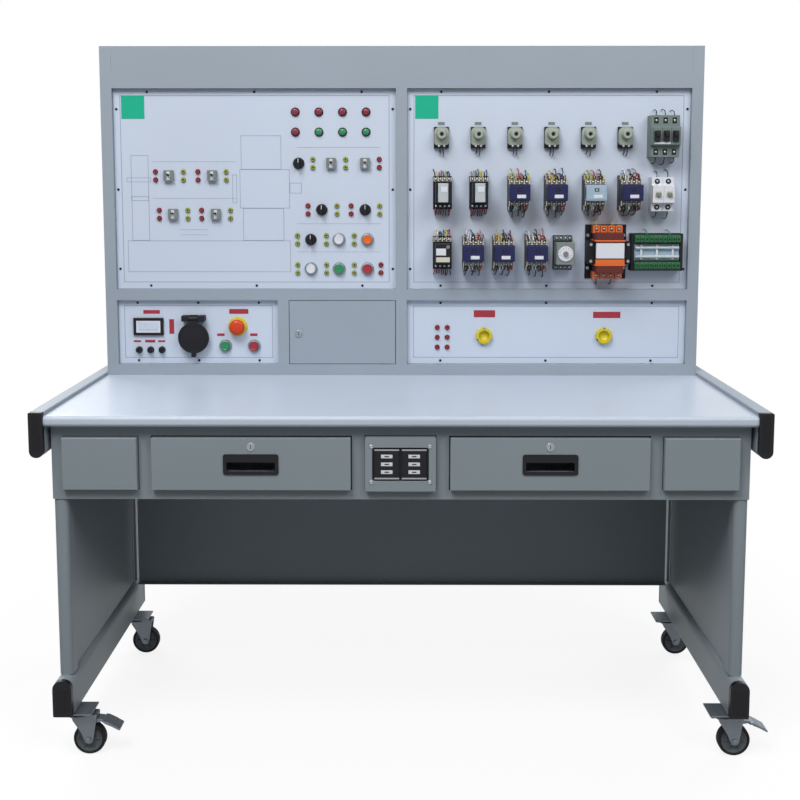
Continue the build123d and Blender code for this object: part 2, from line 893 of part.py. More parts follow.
# Cabinet: welded face frame, header, rim bars behind them, walls and the door's hinge pins
rim_face = panel_face + sheet
header_bottom = cabinet_top - header_height + post / 2
post_in = side - post
door_height = lower_opening - 2 * door_gap
hinge_x = fault_x + fault_width / 2 - hinge_inset
hinge_y = cab_front + hinge_inset
openings = [
    (left_x, upper_z, opening_width, upper_opening),
    (right_x, upper_z, opening_width, upper_opening),
    (power_x, lower_z, power_width, lower_opening),
    (right_x, lower_z, opening_width, lower_opening),
]


def frame_bars(y, lap, top):
    """Flat bars, butted and welded, around the openings; each opening is narrower by the lap."""
    inner = post_in - lap
    middle = (-post / 2 - lap, post / 2 + lap)
    lower_row = (lower_bottom + lap, lower_top - lap)
    power_edge = power_x + power_width / 2
    return [
        block((-side, -inner), y, (cabinet_foot, cabinet_top)),
        block((inner, side), y, (cabinet_foot, cabinet_top)),
        block((-inner, inner), y, (cabinet_foot, lower_row[0])),
        block((-inner, inner), y, (lower_row[1], upper_bottom + lap)),
        block((-inner, inner), y, (upper_top - lap, top)),
        block(middle, y, (upper_bottom + lap, upper_top - lap)),
        block(middle, y, lower_row),
        block((power_edge - lap, power_edge + post + lap), y, lower_row),
    ]


face_frame = frame_bars((cab_front, rim_face), 0.0, header_bottom)
rim_bars = frame_bars((rim_face, rim_face + sheet), rim_lap, cabinet_top)
wall_y = (rim_face + sheet, back - sheet)
walls = [
    block((-side, -side + sheet), wall_y, (cabinet_foot, cabinet_top)),
    block((side - sheet, side), wall_y, (cabinet_foot, cabinet_top)),
    block((-side + sheet, side - sheet), wall_y, (cabinet_foot, cabinet_foot + sheet)),
    block((-side + sheet, side - sheet), wall_y, (cabinet_top - sheet, cabinet_top)),
]
header = block(
    (-post_in, post_in), (cab_front + header_inset, rim_face), (header_bottom, cabinet_top)
)
hinge_pins = []
for z, direction in ((lower_bottom, 1), (lower_top, -1)):
    with BuildPart() as hinge_bolt:
        with BuildSketch(Plane.XY.offset(z)):
            with Locations((hinge_x, hinge_y)):
                RegularPolygon(hinge_pin, small_sides)
        extrude(amount=direction * pin_length)
    hinge_pins.append(hinge_bolt.part)
group("cabinet_shell", face_frame + rim_bars + walls + [header] + hinge_pins)


# Back cover with louvres and a cable gland
gland_x = side - gland_inset
gland_z = desk_height + gland_rise
gland_plane = Plane(origin=(gland_x, back, gland_z), x_dir=(-1, 0, 0), z_dir=(0, 1, 0))
with BuildPart() as back_cover:
    with BuildSketch(facing(back)):
        with Locations((0, (cabinet_foot + cabinet_top) / 2)):
            Rectangle(desk_width, cabinet_top - cabinet_foot)
        for bank in (-1, 1):
            with Locations((bank * desk_width / 4, upper_top - louvre_drop)):
                with GridLocations(1.0, louvre_pitch, 1, louvre_count):
                    Rectangle(*louvre_size, mode=Mode.SUBTRACT)
    extrude(amount=sheet)
with BuildPart() as cable_gland:
    for radius, sides, depth in zip((gland_radius, gland_nut), (6, small_sides), gland_depth):
        with BuildSketch(gland_plane):
            RegularPolygon(radius, sides)
            RegularPolygon(gland_bore, small_sides, mode=Mode.SUBTRACT)
        extrude(amount=depth)
group("cabinet_back", [back_cover.part, cable_gland.part])


def panel_sheet(opening, cuts=(), rounds=()):
    """A panel that lies on the rim inside its opening, cut out for what passes through."""
    x, z, width, height = opening
    with BuildPart() as panel:
        with BuildSketch(facing(rim_face)):
            with Locations((x, z)):
                Rectangle(width - 2 * panel_gap, height - 2 * panel_gap)
            for cut_x, cut_z, cut_width, cut_height in cuts:
                with Locations((cut_x, cut_z)):
                    Rectangle(cut_width, cut_height, mode=Mode.SUBTRACT)
            for hole_x, hole_z, hole_radius in rounds:
                with Locations((hole_x, hole_z)):
                    RegularPolygon(hole_radius, fine_sides, mode=Mode.SUBTRACT)
        extrude(amount=sheet)
    return panel.part


diagram = (openings[0], upper_layout)
component = (openings[1], upper_layout)
power = (openings[2], power_layout)
output = (openings[3], output_layout)
(meter_x, meter_z), (socket_x, socket_z) = on_panel([meter_place, socket_place], *power)
shell_radius = socket_radius - 5.0
panel_lip = 6.0
save(panel_sheet(openings[0]), "diagram_panel")
save(panel_sheet(openings[1]), "component_panel")
save(
    panel_sheet(
        openings[2],
        [(meter_x, meter_z, meter_size[0] - panel_lip, meter_size[1] - panel_lip)],
        [(socket_x, socket_z, shell_radius + slide_gap)],
    ),
    "power_panel",
)
save(panel_sheet(openings[3]), "output_panel")


# Fault compartment: tub, board and its fixed fault switches
tub_width = fault_width - 2 * tub_gap
tub_height = lower_opening - 2 * tub_gap
tub_front = rim_face + sheet
with BuildPart() as tub:
    with Locations((fault_x, tub_front + tub_depth / 2, lower_z)):
        Box(tub_width, tub_depth, tub_height)
    with Locations((fault_x, tub_front + (tub_depth - tray_wall) / 2, lower_z)):
        Box(
            tub_width - 2 * tray_wall, tub_depth - tray_wall, tub_height - 2 * tray_wall,
            mode=Mode.SUBTRACT,
        )
board_face = tub_front + tub_depth - tray_wall - board_sheet
board_half_width = tub_width / 2 - board_inset
board_half_height = tub_height / 2 - board_inset
fault_plate = block(
    (fault_x - board_half_width, fault_x + board_half_width),
    (board_face, board_face + board_sheet),
    (lower_z - board_half_height, lower_z + board_half_height),
)


def fault_switch(x, z):
    """A small panel switch with its lever up."""
    with BuildPart() as switch:
        with Locations((x, board_face - switch_size[1] / 2, z)):
            Box(*switch_size)
        with BuildSketch(Plane.YZ.offset(x - switch_lever / 2)):
            with BuildLine():
                Polyline(
                    *((board_face - switch_size[1] - y, z + rise) for y, rise in lever_outline),
                    close=True,
                )
            make_face()
        extrude(amount=switch_lever)
    return switch.part


fault_switches = [
    fault_switch(fault_x + column * switch_pitch[0], lower_z + row * switch_pitch[1])
    for column in (-2.5, -1.5, -0.5, 0.5, 1.5, 2.5)
    for row in (-0.5, 0.5)
]
save(tub.part, "fault_tub")
group("fault_board", [fault_plate] + fault_switches)


# Fault door: a folded pan bored for its lock and its hinge pins
lock_x = fault_x - fault_width / 2 + door_lock_inset
lock_z = lower_z - door_lock_drop
door_right = hinge_x + hinge_edge
door_left = fault_x - fault_width / 2 + door_gap
door_x = (door_left + door_right) / 2
door_y = cab_front + door_set_back + door_fold / 2
with BuildPart() as fault_door:
    with Locations((door_x, door_y, lower_z)):
        Box(door_right - door_left, door_fold, door_height)
    with Locations((door_x, door_y + sheet, lower_z)):
        Box(
            door_right - door_left - 2 * sheet, door_fold, door_height - 2 * sheet,
            mode=Mode.SUBTRACT,
        )
    for end in (-1, 1):
        with BuildSketch(Plane.XY.offset(lower_z + end * door_height / 2)):
            with Locations((hinge_x, hinge_y)):
                RegularPolygon(hinge_edge, small_sides)
        extrude(amount=-end * boss_length)
        with BuildSketch(Plane.XY.offset(lower_z + end * door_height / 2)):
            with Locations((hinge_x, hinge_y)):
                RegularPolygon(hinge_pin + running, small_sides, major_radius=False)
        extrude(amount=-end * boss_length, mode=Mode.SUBTRACT)
    with BuildSketch(facing(tub_front)):
        with Locations((lock_x, lock_z)):
            RegularPolygon(lock_radius + 2 * running, fine_sides, major_radius=False)
    extrude(amount=tub_front - cab_front, mode=Mode.SUBTRACT)
save(fault_door.part, "fault_door")

tongue_reach = lock_x - (fault_x - tub_width / 2 + tray_wall) - 1.0
with BuildPart() as door_lock:
    with BuildSketch(facing(tub_front + 0.5)):
        with Locations((lock_x, lock_z)):
            RegularPolygon(lock_radius, fine_sides)
    extrude(amount=tub_front + 0.5 - cab_front + 1.0)
    with BuildSketch(facing(cab_front + door_set_back - slide_gap)):
        with Locations((lock_x, lock_z)):
            RegularPolygon(lock_radius + lock_rim, fine_sides)
    extrude(amount=lock_rim)
    with BuildSketch(facing(tub_front + 0.5)):
        with Locations((lock_x, lock_z + tongue_reach / 2)):
            Rectangle(lock_radius, tongue_reach)
    extrude(amount=-sheet)
save(door_lock.part, "door_lock")


# Devices that only stand on the panels: lamps, test jacks and the collars of the switches
lamps = on_panel(lamp_places, *diagram)
toggles = on_panel(toggle_places, *diagram)
selectors = on_panel(selector_places, *diagram)
buttons = on_panel(button_places, *diagram)
start_at, stop_at, estop_at = on_panel([start_place, stop_place, estop_place], *power)


def jack_pair(x, z):
    return [
        disc(x, z + rise, panel_face, jack_radius, jack_depth, sides=small_sides)
        for rise in (jack_spread, -jack_spread)
    ]


def button_collar(x, z):
    """The round bezel that a button slides in."""
    return disc(x, z, panel_face, collar_radius, collar_depth, bore=cap_radius + 2 * running)


def selector_collar(x, z):
    return disc(x, z, panel_face, selector_radius, selector_depth)


def toggle_body(x, z):
    """The square body of a toggle switch, slotted for its lever."""
    with BuildPart() as body:
        with BuildSketch(facing(panel_face)):
            with Locations((x, z)):
                Rectangle(toggle_width, toggle_height)
        extrude(amount=toggle_depth)
        with BuildSketch(facing(panel_face - toggle_depth)):
            with Locations((x, z)):
                Rectangle(toggle_slot, toggle_height - 10.0)
        extrude(amount=-(toggle_depth - 1.0), mode=Mode.SUBTRACT)
    return body.part


jacks = [jack for place in on_panel(jack_columns, *diagram) for jack in jack_pair(*place)]
jacks += [
    disc(x, z, panel_face, jack_radius, jack_depth, sides=small_sides)
    for x, z in on_panel(output_jacks, *output)
]
group("test_jacks", jacks)
group("pilot_lamps", [disc(x, z, panel_face, lamp_radius, lamp_depth) for x, z in lamps])
estop_collar = disc(*estop_at, panel_face, estop_ring, collar_depth, bore=cap_radius + 2 * running)
collars = [button_collar(*place) for place in buttons + [start_at, stop_at]] + [estop_collar]
collars += [selector_collar(*place) for place in selectors]
collars += [toggle_body(*place) for place in toggles]
group("switch_collars", collars)


# Buttons, selectors, toggles and the emergency stop
cap_front = panel_face - collar_depth - button_proud
cap_back = panel_face - button_travel - slide_gap


def push_button(x, z):
    """A round cap that slides in its collar."""
    return disc(x, z, cap_back, cap_radius, cap_back - cap_front)


def selector_knob(x, z):
    """A round knob with a grip bar across it."""
    knob_back = panel_face - selector_depth - slide_gap
    with BuildPart() as knob:
        with BuildSketch(facing(knob_back)):
            with Locations((x, z)):
                RegularPolygon(selector_radius - 3.0, plain_sides)
        extrude(amount=knob_base)
        with BuildSketch(facing(knob_back - knob_base)):
            with Locations((x, z)):
                Rectangle(grip_width, 2 * selector_radius - knob_base)
        extrude(amount=grip_depth)
    return knob.part


def toggle_switch(x, z):
    """A rocking lever on its cross pin, tilted up at rest."""
    pivot_y = panel_face - toggle_depth + 5.0
    with BuildPart() as lever:
        with BuildSketch(Plane.YZ.offset(x - toggle_slot / 2 + running)):
            with Locations((pivot_y, z)):
                RegularPolygon(lever_radius, small_sides)
                with Locations(Rotation(0, 0, -toggle_tilt)):
                    with Locations((-lever_length / 2, 0)):
                        Rectangle(lever_length, lever_thick)
        extrude(amount=toggle_slot - 2 * running)
    return lever.part


for number, place in enumerate(buttons, start=1):
    save(push_button(*place), f"push_button_{number}")
save(push_button(*start_at), "start_button")
save(push_button(*stop_at), "stop_button")
for number, place in enumerate(selectors, start=1):
    save(selector_knob(*place), f"selector_knob_{number}")
for number, place in enumerate(toggles, start=1):
    save(toggle_switch(*place), f"toggle_switch_{number}")

estop_back = panel_face - collar_depth - estop_travel - slide_gap
with BuildPart() as estop_button:
    with BuildSketch(facing(panel_face - estop_travel - slide_gap)):
        with Locations(estop_at):
            RegularPolygon(cap_radius, plain_sides)
    extrude(amount=collar_depth)
    with BuildSketch(facing(estop_back)):
        with Locations(estop_at):
            RegularPolygon(estop_radius, fine_sides)
    extrude(amount=estop_crown)
    chamfer(estop_button.faces().sort_by(Axis.Y)[0].edges(), estop_crown / 3)
save(estop_button.part, "estop_button")


# Industrial socket with a sprung lid, and the two round output connectors
body_front = panel_face - socket_proud
cavity_radius = shell_radius - socket_wall
lid_hinge_y = body_front - slide_gap - lid_thick / 2
lid_hinge_z = socket_z + hinge_rise
hinge_block_height = 2 * knuckle_radius + socket_wall


def contact_places(x, z, radius, count):
    """Contacts spread evenly on a circle."""
    with BuildSketch() as layout:
        with Locations((x, z)):
            with PolarLocations(radius, count, start_angle=90):
                RegularPolygon(contact_radius, small_sides)
    return layout.sketch


with BuildPart() as socket_shell:
    with BuildSketch(facing(panel_face)):
        with Locations((socket_x, socket_z)):
            RegularPolygon(socket_radius, fine_sides)
    extrude(amount=panel_face - body_front)
    with BuildSketch(facing(body_front)):
        with Locations((socket_x, socket_z)):
            RegularPolygon(shell_radius, fine_sides)
    extrude(amount=-(cavity_depth + socket_wall))
    with BuildSketch(facing(body_front)):
        with Locations((socket_x, socket_z)):
            RegularPolygon(cavity_radius, fine_sides)
    extrude(amount=-cavity_depth, mode=Mode.SUBTRACT)
    with BuildSketch(facing(body_front + cavity_depth)):
        add(contact_places(socket_x, socket_z, cavity_radius * 0.55, 4))
    extrude(amount=cavity_depth * 0.6)

with BuildPart() as lid_bracket:
    with BuildSketch(facing(panel_face)):
        with Locations((socket_x, lid_hinge_z)):
            Rectangle(hinge_block_width, hinge_block_height)
    extrude(amount=panel_face - lid_hinge_y + knuckle_radius)
    with BuildSketch(facing(panel_face - sheet)):
        with Locations((socket_x, lid_hinge_z)):
            Rectangle(knuckle_width + 2 * slide_gap, 2 * hinge_block_height)
    extrude(amount=panel_face, mode=Mode.SUBTRACT)
with BuildPart() as lid_hinge_pin:
    with BuildSketch(Plane.YZ.offset(socket_x - knuckle_width / 2 - slide_gap)):
        with Locations((lid_hinge_y, lid_hinge_z)):
            RegularPolygon(lid_pin, small_sides)
    extrude(amount=knuckle_width + 2 * slide_gap)

with BuildPart() as socket_lid:
    with BuildSketch(facing(body_front - slide_gap)):
        with Locations((socket_x, socket_z)):
            RegularPolygon(lid_radius, fine_sides)
        with Locations((socket_x, (socket_z + lid_hinge_z) / 2)):
            Rectangle(knuckle_width, lid_hinge_z - socket_z)
        with Locations((socket_x, socket_z - lid_radius - lid_thick / 2)):
            Rectangle(*lid_tab)
    extrude(amount=lid_thick)
    with BuildSketch(Plane.YZ.offset(socket_x - knuckle_width / 2)):
        with Locations((lid_hinge_y, lid_hinge_z)):
            RegularPolygon(knuckle_radius, small_sides)
    extrude(amount=knuckle_width)
    with BuildSketch(Plane.YZ.offset(socket_x - knuckle_width / 2)):
        with Locations((lid_hinge_y, lid_hinge_z)):
            RegularPolygon(lid_pin + running, small_sides, major_radius=False)
    extrude(amount=knuckle_width, mode=Mode.SUBTRACT)
save(socket_lid.part, "socket_lid")


def output_connector(x, z):
    """A round flush connector with a keyed cap ring and sunk contacts."""
    with BuildPart() as connector:
        with BuildSketch(facing(panel_face)):
            with Locations((x, z)):
                RegularPolygon(connector_radius, fine_sides)
                with PolarLocations(connector_radius, 3, start_angle=90):
                    Rectangle(connector_notch, connector_notch, mode=Mode.SUBTRACT)
        extrude(amount=connector_depth)
        with BuildSketch(facing(panel_face - connector_depth)):
            with Locations((x, z)):
                RegularPolygon(connector_well[0], plain_sides)
        extrude(amount=-connector_well[1], mode=Mode.SUBTRACT)
        with BuildSketch(facing(panel_face - connector_depth + connector_well[1])):
            with Locations((x, z)):
                RegularPolygon(connector_core[0], plain_sides)
        extrude(amount=connector_core[1])
    return connector.part


connectors = [output_connector(*place) for place in on_panel(output_connectors, *output)]
group("panel_sockets", [socket_shell.part, lid_bracket.part, lid_hinge_pin.part])
group("output_connectors", connectors)


# Panel meter: bezel, window and the case behind the panel
window_width = meter_size[0] - 2 * meter_border[0]
window_height = meter_size[1] - 2 * meter_border[1]
window_sunk = 2.0
with BuildPart() as meter_case:
    with BuildSketch(facing(panel_face)):
        with Locations((meter_x, meter_z)):
            Rectangle(*meter_size)
    extrude(amount=meter_proud)
    chamfer(meter_case.faces().sort_by(Axis.Y)[0].edges(), front_edge)
    with BuildSketch(facing(panel_face - meter_proud)):
        with Locations((meter_x, meter_z)):
            Rectangle(window_width, window_height)
    extrude(amount=-window_sunk, mode=Mode.SUBTRACT)
    with BuildSketch(facing(panel_face)):
        with Locations((meter_x, meter_z)):
            Rectangle(meter_size[0] - panel_lip - 1.0, meter_size[1] - panel_lip - 1.0)
    extrude(amount=-meter_case_depth)
meter_window = block(
    (meter_x - window_width / 2, meter_x + window_width / 2),
    (panel_face - meter_proud + panel_gap, panel_face - meter_proud + window_sunk),
    (meter_z - window_height / 2, meter_z + window_height / 2),
)
group("panel_meter", [meter_case.part, meter_window])


def stacked(x, z, *boxes):
    """Boxes (width, depth, height) that stand one before the other on the panel."""
    face = panel_face
    with BuildPart() as body:
        for width, depth, height in boxes:
            with Locations((x, face - depth / 2, z)):
                Box(width, depth, height)
            face -= depth
    return body.part


def stepped(x, z, width, steps):
    """A body whose side view steps out from the panel, the same above and below."""
    above = [(panel_face - depth, z + half) for half, depth in steps]
    below = [(y, 2 * z - level) for y, level in reversed(above)]
    with BuildPart() as body:
        with BuildSketch(Plane.YZ.offset(x - width / 2)):
            with BuildLine():
                Polyline(*above, *below, close=True)
            make_face()
        extrude(amount=width)
    return body.part


def screw_fuse(x, z):
    """A bottle fuse base with a round screw cap at its upper end."""
    with BuildPart() as fuse:
        add(stacked(x, z, fuse_base))
        with BuildSketch(facing(panel_face - fuse_base[1])):
            with Locations((x, z + fuse_cap_rise)):
                RegularPolygon(fuse_cap[0], plain_sides)
        extrude(amount=fuse_cap[1])
    return fuse.part


def motor_breaker(x, z):
    """A three-pole breaker: deep body, raised middle and three rockers."""
    face = panel_face - motor_breaker_steps[-1][1]
    with BuildPart() as breaker:
        add(stepped(x, z, motor_breaker_width, motor_breaker_steps))
        for pole in (-1, 0, 1):
            with Locations((x + pole * rocker_pitch, face - rocker[1] / 2, z)):
                Box(*rocker)
    return breaker.part


def rail_breaker(x, z):
    """A two-pole breaker with its two levers joined."""
    face = panel_face - rail_breaker_steps[-1][1]
    with BuildPart() as breaker:
        add(stepped(x, z, rail_breaker_width, rail_breaker_steps))
        with Locations((x, face - rail_breaker_lever[1] / 2, z)):
            Box(*rail_breaker_lever)
    return breaker.part


def timer(x, z):
    """A timer on its socket, with a round dial and a small knob."""
    face = panel_face - timer_base[1] - timer_body[1]
    with BuildPart() as body:
        add(stacked(x, z, timer_base, timer_body))
        for (radius, depth), sides in ((timer_dial, fine_sides), (timer_knob, small_sides)):
            with BuildSketch(facing(face)):
                with Locations((x, z)):
                    RegularPolygon(radius, sides)
            extrude(amount=depth)
            face -= depth
    return body.part


fuses = [screw_fuse(*place) for place in on_panel(fuse_places, *component)]
fuses += [disc(x, z, panel_face, *small_fuse) for x, z in on_panel(power_fuses, *power)]
motor_at, rail_at, timer_at = on_panel(
    [motor_breaker_place, rail_breaker_place, timer_place], *component
)
group("protection_devices", fuses + [motor_breaker(*motor_at), rail_breaker(*rail_at)])
group("contactors", [
    stepped(x, z, contactor_width, contactor_steps)
    for x, z in on_panel(contactor_places, *component)
])
relays = [stacked(x, z, relay_base, relay_cover) for x, z in on_panel(relay_places, *component)]
group("relays", relays + [timer(*timer_at)])


# Control transformer and the open carrier module beside it
[(module_x, module_z)] = on_panel([carrier_place], *component)
transformer_x = module_x - carrier_size[0] / 2 - carrier_gap - core_size[0] / 2
transformer_z = module_z


def terminal_bars(x, z, rise, size, back_y):
    """Terminal bars above and below the middle of a device, standing on the depth given."""
    width, depth, height = size
    return [
        block(
            (x - width / 2, x + width / 2), (back_y - depth, back_y),
            (z + up * rise - height / 2, z + up * rise + height / 2),
        )
        for up in (-1, 1)
    ]


coil_y = panel_face - core_foot[1] - coil_size[1] / 2
with BuildPart() as transformer_coil:
    for up in (-1, 1):
        with Locations((transformer_x, coil_y, transformer_z + up * coil_rise)):
            Box(*coil_size)
    coil_face = coil_y - coil_size[1] / 2 + coil_front[1] / 2
    with Locations((transformer_x, coil_face, transformer_z)):
        Box(*coil_front)
with BuildPart() as carrier_module:
    add(stacked(module_x, module_z, carrier_size))
    with Locations((module_x, panel_face - carrier_size[1] + carrier_well[1] / 2, module_z)):
        Box(*carrier_well, mode=Mode.SUBTRACT)
power_modules = [
    stacked(transformer_x, transformer_z, core_foot, core_size),
    transformer_coil.part,
    carrier_module.part,
]
power_modules += terminal_bars(
    transformer_x, transformer_z, core_terminal_rise, core_terminals, panel_face - core_foot[1]
)
power_modules += terminal_bars(
    module_x, module_z, carrier_terminal_rise, carrier_terminals, panel_face - carrier_size[1]
)
group("power_modules", power_modules)
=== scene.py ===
"""Looks of an electrical skills training bench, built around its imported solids.

Shapes are drawn in millimetres in the row frame and written in metres.
+X is to the right, +Y is to the back and +Z is up.
"""
import json
import math
import random

import bmesh
import bpy
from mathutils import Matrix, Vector

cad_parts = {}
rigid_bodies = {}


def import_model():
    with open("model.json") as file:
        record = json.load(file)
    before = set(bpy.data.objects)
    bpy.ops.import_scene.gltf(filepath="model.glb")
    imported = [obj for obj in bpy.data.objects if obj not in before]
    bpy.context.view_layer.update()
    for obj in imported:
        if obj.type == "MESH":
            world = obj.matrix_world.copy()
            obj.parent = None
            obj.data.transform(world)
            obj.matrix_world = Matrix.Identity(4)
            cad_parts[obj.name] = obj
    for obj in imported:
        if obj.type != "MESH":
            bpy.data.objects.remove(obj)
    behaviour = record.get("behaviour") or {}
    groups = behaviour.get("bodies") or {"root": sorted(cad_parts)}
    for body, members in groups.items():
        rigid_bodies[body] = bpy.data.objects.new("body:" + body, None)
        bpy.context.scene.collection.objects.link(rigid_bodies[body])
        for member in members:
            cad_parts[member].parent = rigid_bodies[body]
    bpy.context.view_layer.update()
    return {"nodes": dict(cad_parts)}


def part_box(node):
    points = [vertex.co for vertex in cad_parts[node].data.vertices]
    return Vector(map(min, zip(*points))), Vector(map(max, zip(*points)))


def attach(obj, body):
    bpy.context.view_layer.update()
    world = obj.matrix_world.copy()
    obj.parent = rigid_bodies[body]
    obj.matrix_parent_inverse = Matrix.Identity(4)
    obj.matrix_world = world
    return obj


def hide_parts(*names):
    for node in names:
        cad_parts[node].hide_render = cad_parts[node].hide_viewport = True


bl_info = {
    "name": "Electrical Training Bench",
    "version": (1, 0, 0),
    "blender": (4, 5, 0),
    "location": "3D View > Sidebar > Bench",
    "description": "Dresses the solids of an electrical skills training bench",
    "category": "Object",
}

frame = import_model()

MM = 0.001
LEFT_PANEL = (-392.5, 1312.5)
RIGHT_PANEL = (392.5, 1312.5)
PANEL_FACE = 184.0
HALF_PANEL = (377.0, 267.0)
POWER_PANEL = (-552.5, 927.5)
OUTPUT_PANEL = (392.5, 927.5)
FRONT_PANELS = ("diagram_panel", "component_panel", "power_panel", "output_panel")
LABEL_FACE = 183.3
SQUARE_FACE = 183.6
DOOR_FACE = 171.0
BACK_FACE = 370.0
LOUVRE_LEVEL = 1489.6
APRON_FACE = -342.0
DRAWER_FACE = -358.3
DRAWER_LEVEL = 698.0


def tone(red, green, blue):
    """A display colour from 0 to 255 as scene-linear values."""
    out = []
    for value in (red / 255, green / 255, blue / 255):
        out.append(value / 12.92 if value <= 0.04045 else ((value + 0.055) / 1.055) ** 2.4)
    return tuple(out)


def colour(name, description, *values):
    return bpy.props.FloatVectorProperty(
        name=name, description=description, subtype="COLOR", size=3, min=0.0, max=1.0,
        default=tone(*values),
    )


def length(name, description, value):
    return bpy.props.FloatProperty(
        name=name, description=description, unit="LENGTH", subtype="DISTANCE",
        min=0.0, default=value * MM,
    )


class BenchColours(bpy.types.PropertyGroup):
    """Colours of the bench's finishes"""

    cabinet: colour("Cabinet", "Powder coat of the cabinet and the rails", 152, 162, 173)
    desk: colour("Desk", "Powder coat of the apron, drawers and legs", 134, 144, 150)
    panel: colour("Panels", "Ground of the printed front panels", 198, 208, 224)
    laminate: colour("Laminate", "Laminate of the desk board", 190, 200, 214)
    print_line: colour("Printed lines", "Lines printed on the panels", 140, 152, 172)
    steel: colour("Steel", "Zinc plated steel of casters, screws and runners", 150, 156, 162)
    zinc: colour("Zinc", "Zinc plated forks, plates and pedals of the casters", 112, 119, 126)
    hub: colour("Wheel hub", "Moulded hubs of the casters' wheels", 82, 88, 92)
    brass: colour("Brass", "Contacts inside the test jacks", 190, 160, 96)
    black: colour("Black", "Moulded caps, handles and sockets", 24, 24, 29)
    grey: colour("Grey", "Bodies of the toggle switches, timer and breaker", 122, 130, 128)
    breaker: colour("Breaker", "Grey-green body of the motor breaker", 112, 126, 122)
    cream: colour("Cream", "Fuse bases and terminal covers", 204, 201, 184)
    fuse: colour("Fuse", "Greenish grey screw fuses", 160, 168, 156)
    white: colour("White", "White caps, labels and breakers", 216, 218, 224)
    navy: colour("Navy", "Fronts of the contactors", 34, 36, 76)
    sky: colour("Pale blue", "Front of the motor starter", 158, 178, 194)
    red: colour("Red", "Lamps, jacks and the stop button", 158, 32, 52)
    green: colour("Green", "Lamps, bars and the start button", 28, 132, 80)
    bars: colour("Bars", "Terminal bars of the open module", 52, 108, 70)
    emblem: colour("Square", "Plain green squares on the panels", 30, 172, 138)
    lime: colour("Lime", "Yellow-green test jacks", 138, 150, 70)
    orange: colour("Orange", "Orange button, stop mushroom and transformer bobbin", 222, 104, 38)
    stop: colour("Stop", "Mushroom head of the emergency stop", 204, 62, 26)
    jack: colour("Dark red", "Dark red test jacks", 128, 24, 52)
    lens: colour("Lens", "Red lenses of the pilot lamps", 134, 30, 52)
    yellow: colour("Yellow", "Round connectors and the stop's ring", 206, 188, 42)
    copper: colour("Bobbin", "Dark red coil of the transformer", 92, 42, 38)


class BenchSizes(bpy.types.PropertyGroup):
    """Sizes of the small fittings"""

    screw: length("Screw head", "Radius of a panel screw's head", 3.4)
    terminal: length("Terminal screw", "Radius of a terminal screw", 3.0)
    wire: length("Wire", "Radius of a device's connecting wires", 1.3)
    line: length("Printed line", "Width of the printed lines", 1.5)
    louvre_pitch: length("Louvre pitch", "Distance between two louvres", 16.0)
    rib_pitch: length("Rib pitch", "Distance between two ribs of an end cap", 5.0)
    louvres: bpy.props.IntProperty(
        name="Louvres", description="Louvres in one bank", min=1, default=6
    )


# name: colour, effect, grain per metre, roughness, metallic, relief, coat
FINISHES = {
    "cabinet_paint": ("cabinet", "Powder coat", 900, 0.5, 0.0, 0.06, 0.0),
    "desk_paint": ("desk", "Powder coat", 900, 0.5, 0.0, 0.06, 0.0),
    "panel_paint": ("panel", "Powder coat", 1500, 0.42, 0.0, 0.08, 0.1),
    "desk_laminate": ("laminate", "Laminate", 700, 0.38, 0.0, 0.1, 0.15),
    "print_line": ("print_line", "Moulded plastic", 800, 0.6, 0.0, 0.02, 0.0),
    "bright_steel": ("steel", "Brushed metal", 300, 0.34, 0.9, 0.1, 0.0),
    "zinc_steel": ("zinc", "Brushed metal", 300, 0.45, 0.6, 0.12, 0.0),
    "wheel_hub": ("hub", "Moulded plastic", 700, 0.5, 0.0, 0.15, 0.0),
    "jack_brass": ("brass", "Brushed metal", 500, 0.3, 1.0, 0.05, 0.0),
    "black_plastic": ("black", "Moulded plastic", 700, 0.42, 0.0, 0.2, 0.0),
    "grey_plastic": ("grey", "Moulded plastic", 900, 0.5, 0.0, 0.15, 0.0),
    "breaker_plastic": ("breaker", "Moulded plastic", 900, 0.5, 0.0, 0.12, 0.0),
    "cream_plastic": ("cream", "Moulded plastic", 900, 0.45, 0.0, 0.12, 0.0),
    "fuse_cap": ("fuse", "Moulded plastic", 900, 0.4, 0.0, 0.08, 0.0),
    "white_plastic": ("white", "Moulded plastic", 900, 0.35, 0.0, 0.05, 0.2),
    "navy_plastic": ("navy", "Moulded plastic", 900, 0.4, 0.0, 0.12, 0.0),
    "sky_plastic": ("sky", "Moulded plastic", 900, 0.4, 0.0, 0.12, 0.0),
    "red_plastic": ("red", "Moulded plastic", 500, 0.22, 0.0, 0.02, 0.5),
    "green_plastic": ("green", "Moulded plastic", 500, 0.24, 0.0, 0.02, 0.5),
    "bar_plastic": ("bars", "Moulded plastic", 500, 0.4, 0.0, 0.05, 0.0),
    "emblem_print": ("emblem", "Moulded plastic", 500, 0.45, 0.0, 0.02, 0.0),
    "lime_plastic": ("lime", "Moulded plastic", 500, 0.4, 0.0, 0.05, 0.0),
    "orange_plastic": ("orange", "Moulded plastic", 500, 0.3, 0.0, 0.03, 0.3),
    "stop_plastic": ("stop", "Moulded plastic", 500, 0.35, 0.0, 0.03, 0.2),
    "jack_plastic": ("jack", "Moulded plastic", 500, 0.4, 0.0, 0.03, 0.0),
    "lens_red": ("lens", "Moulded plastic", 500, 0.18, 0.0, 0.02, 0.4),
    "yellow_plastic": ("yellow", "Moulded plastic", 500, 0.35, 0.0, 0.03, 0.2),
    "bobbin_plastic": ("copper", "Moulded plastic", 500, 0.5, 0.0, 0.1, 0.0),
    "black_rubber": ("black", "Moulded plastic", 260, 0.75, 0.0, 0.5, 0.0),
    "core_steel": ("black", "Lamination", 900, 0.6, 0.3, 0.5, 0.0),
}
BLACK = "black_plastic"
GREY = "grey_plastic"
CREAM = "cream_plastic"
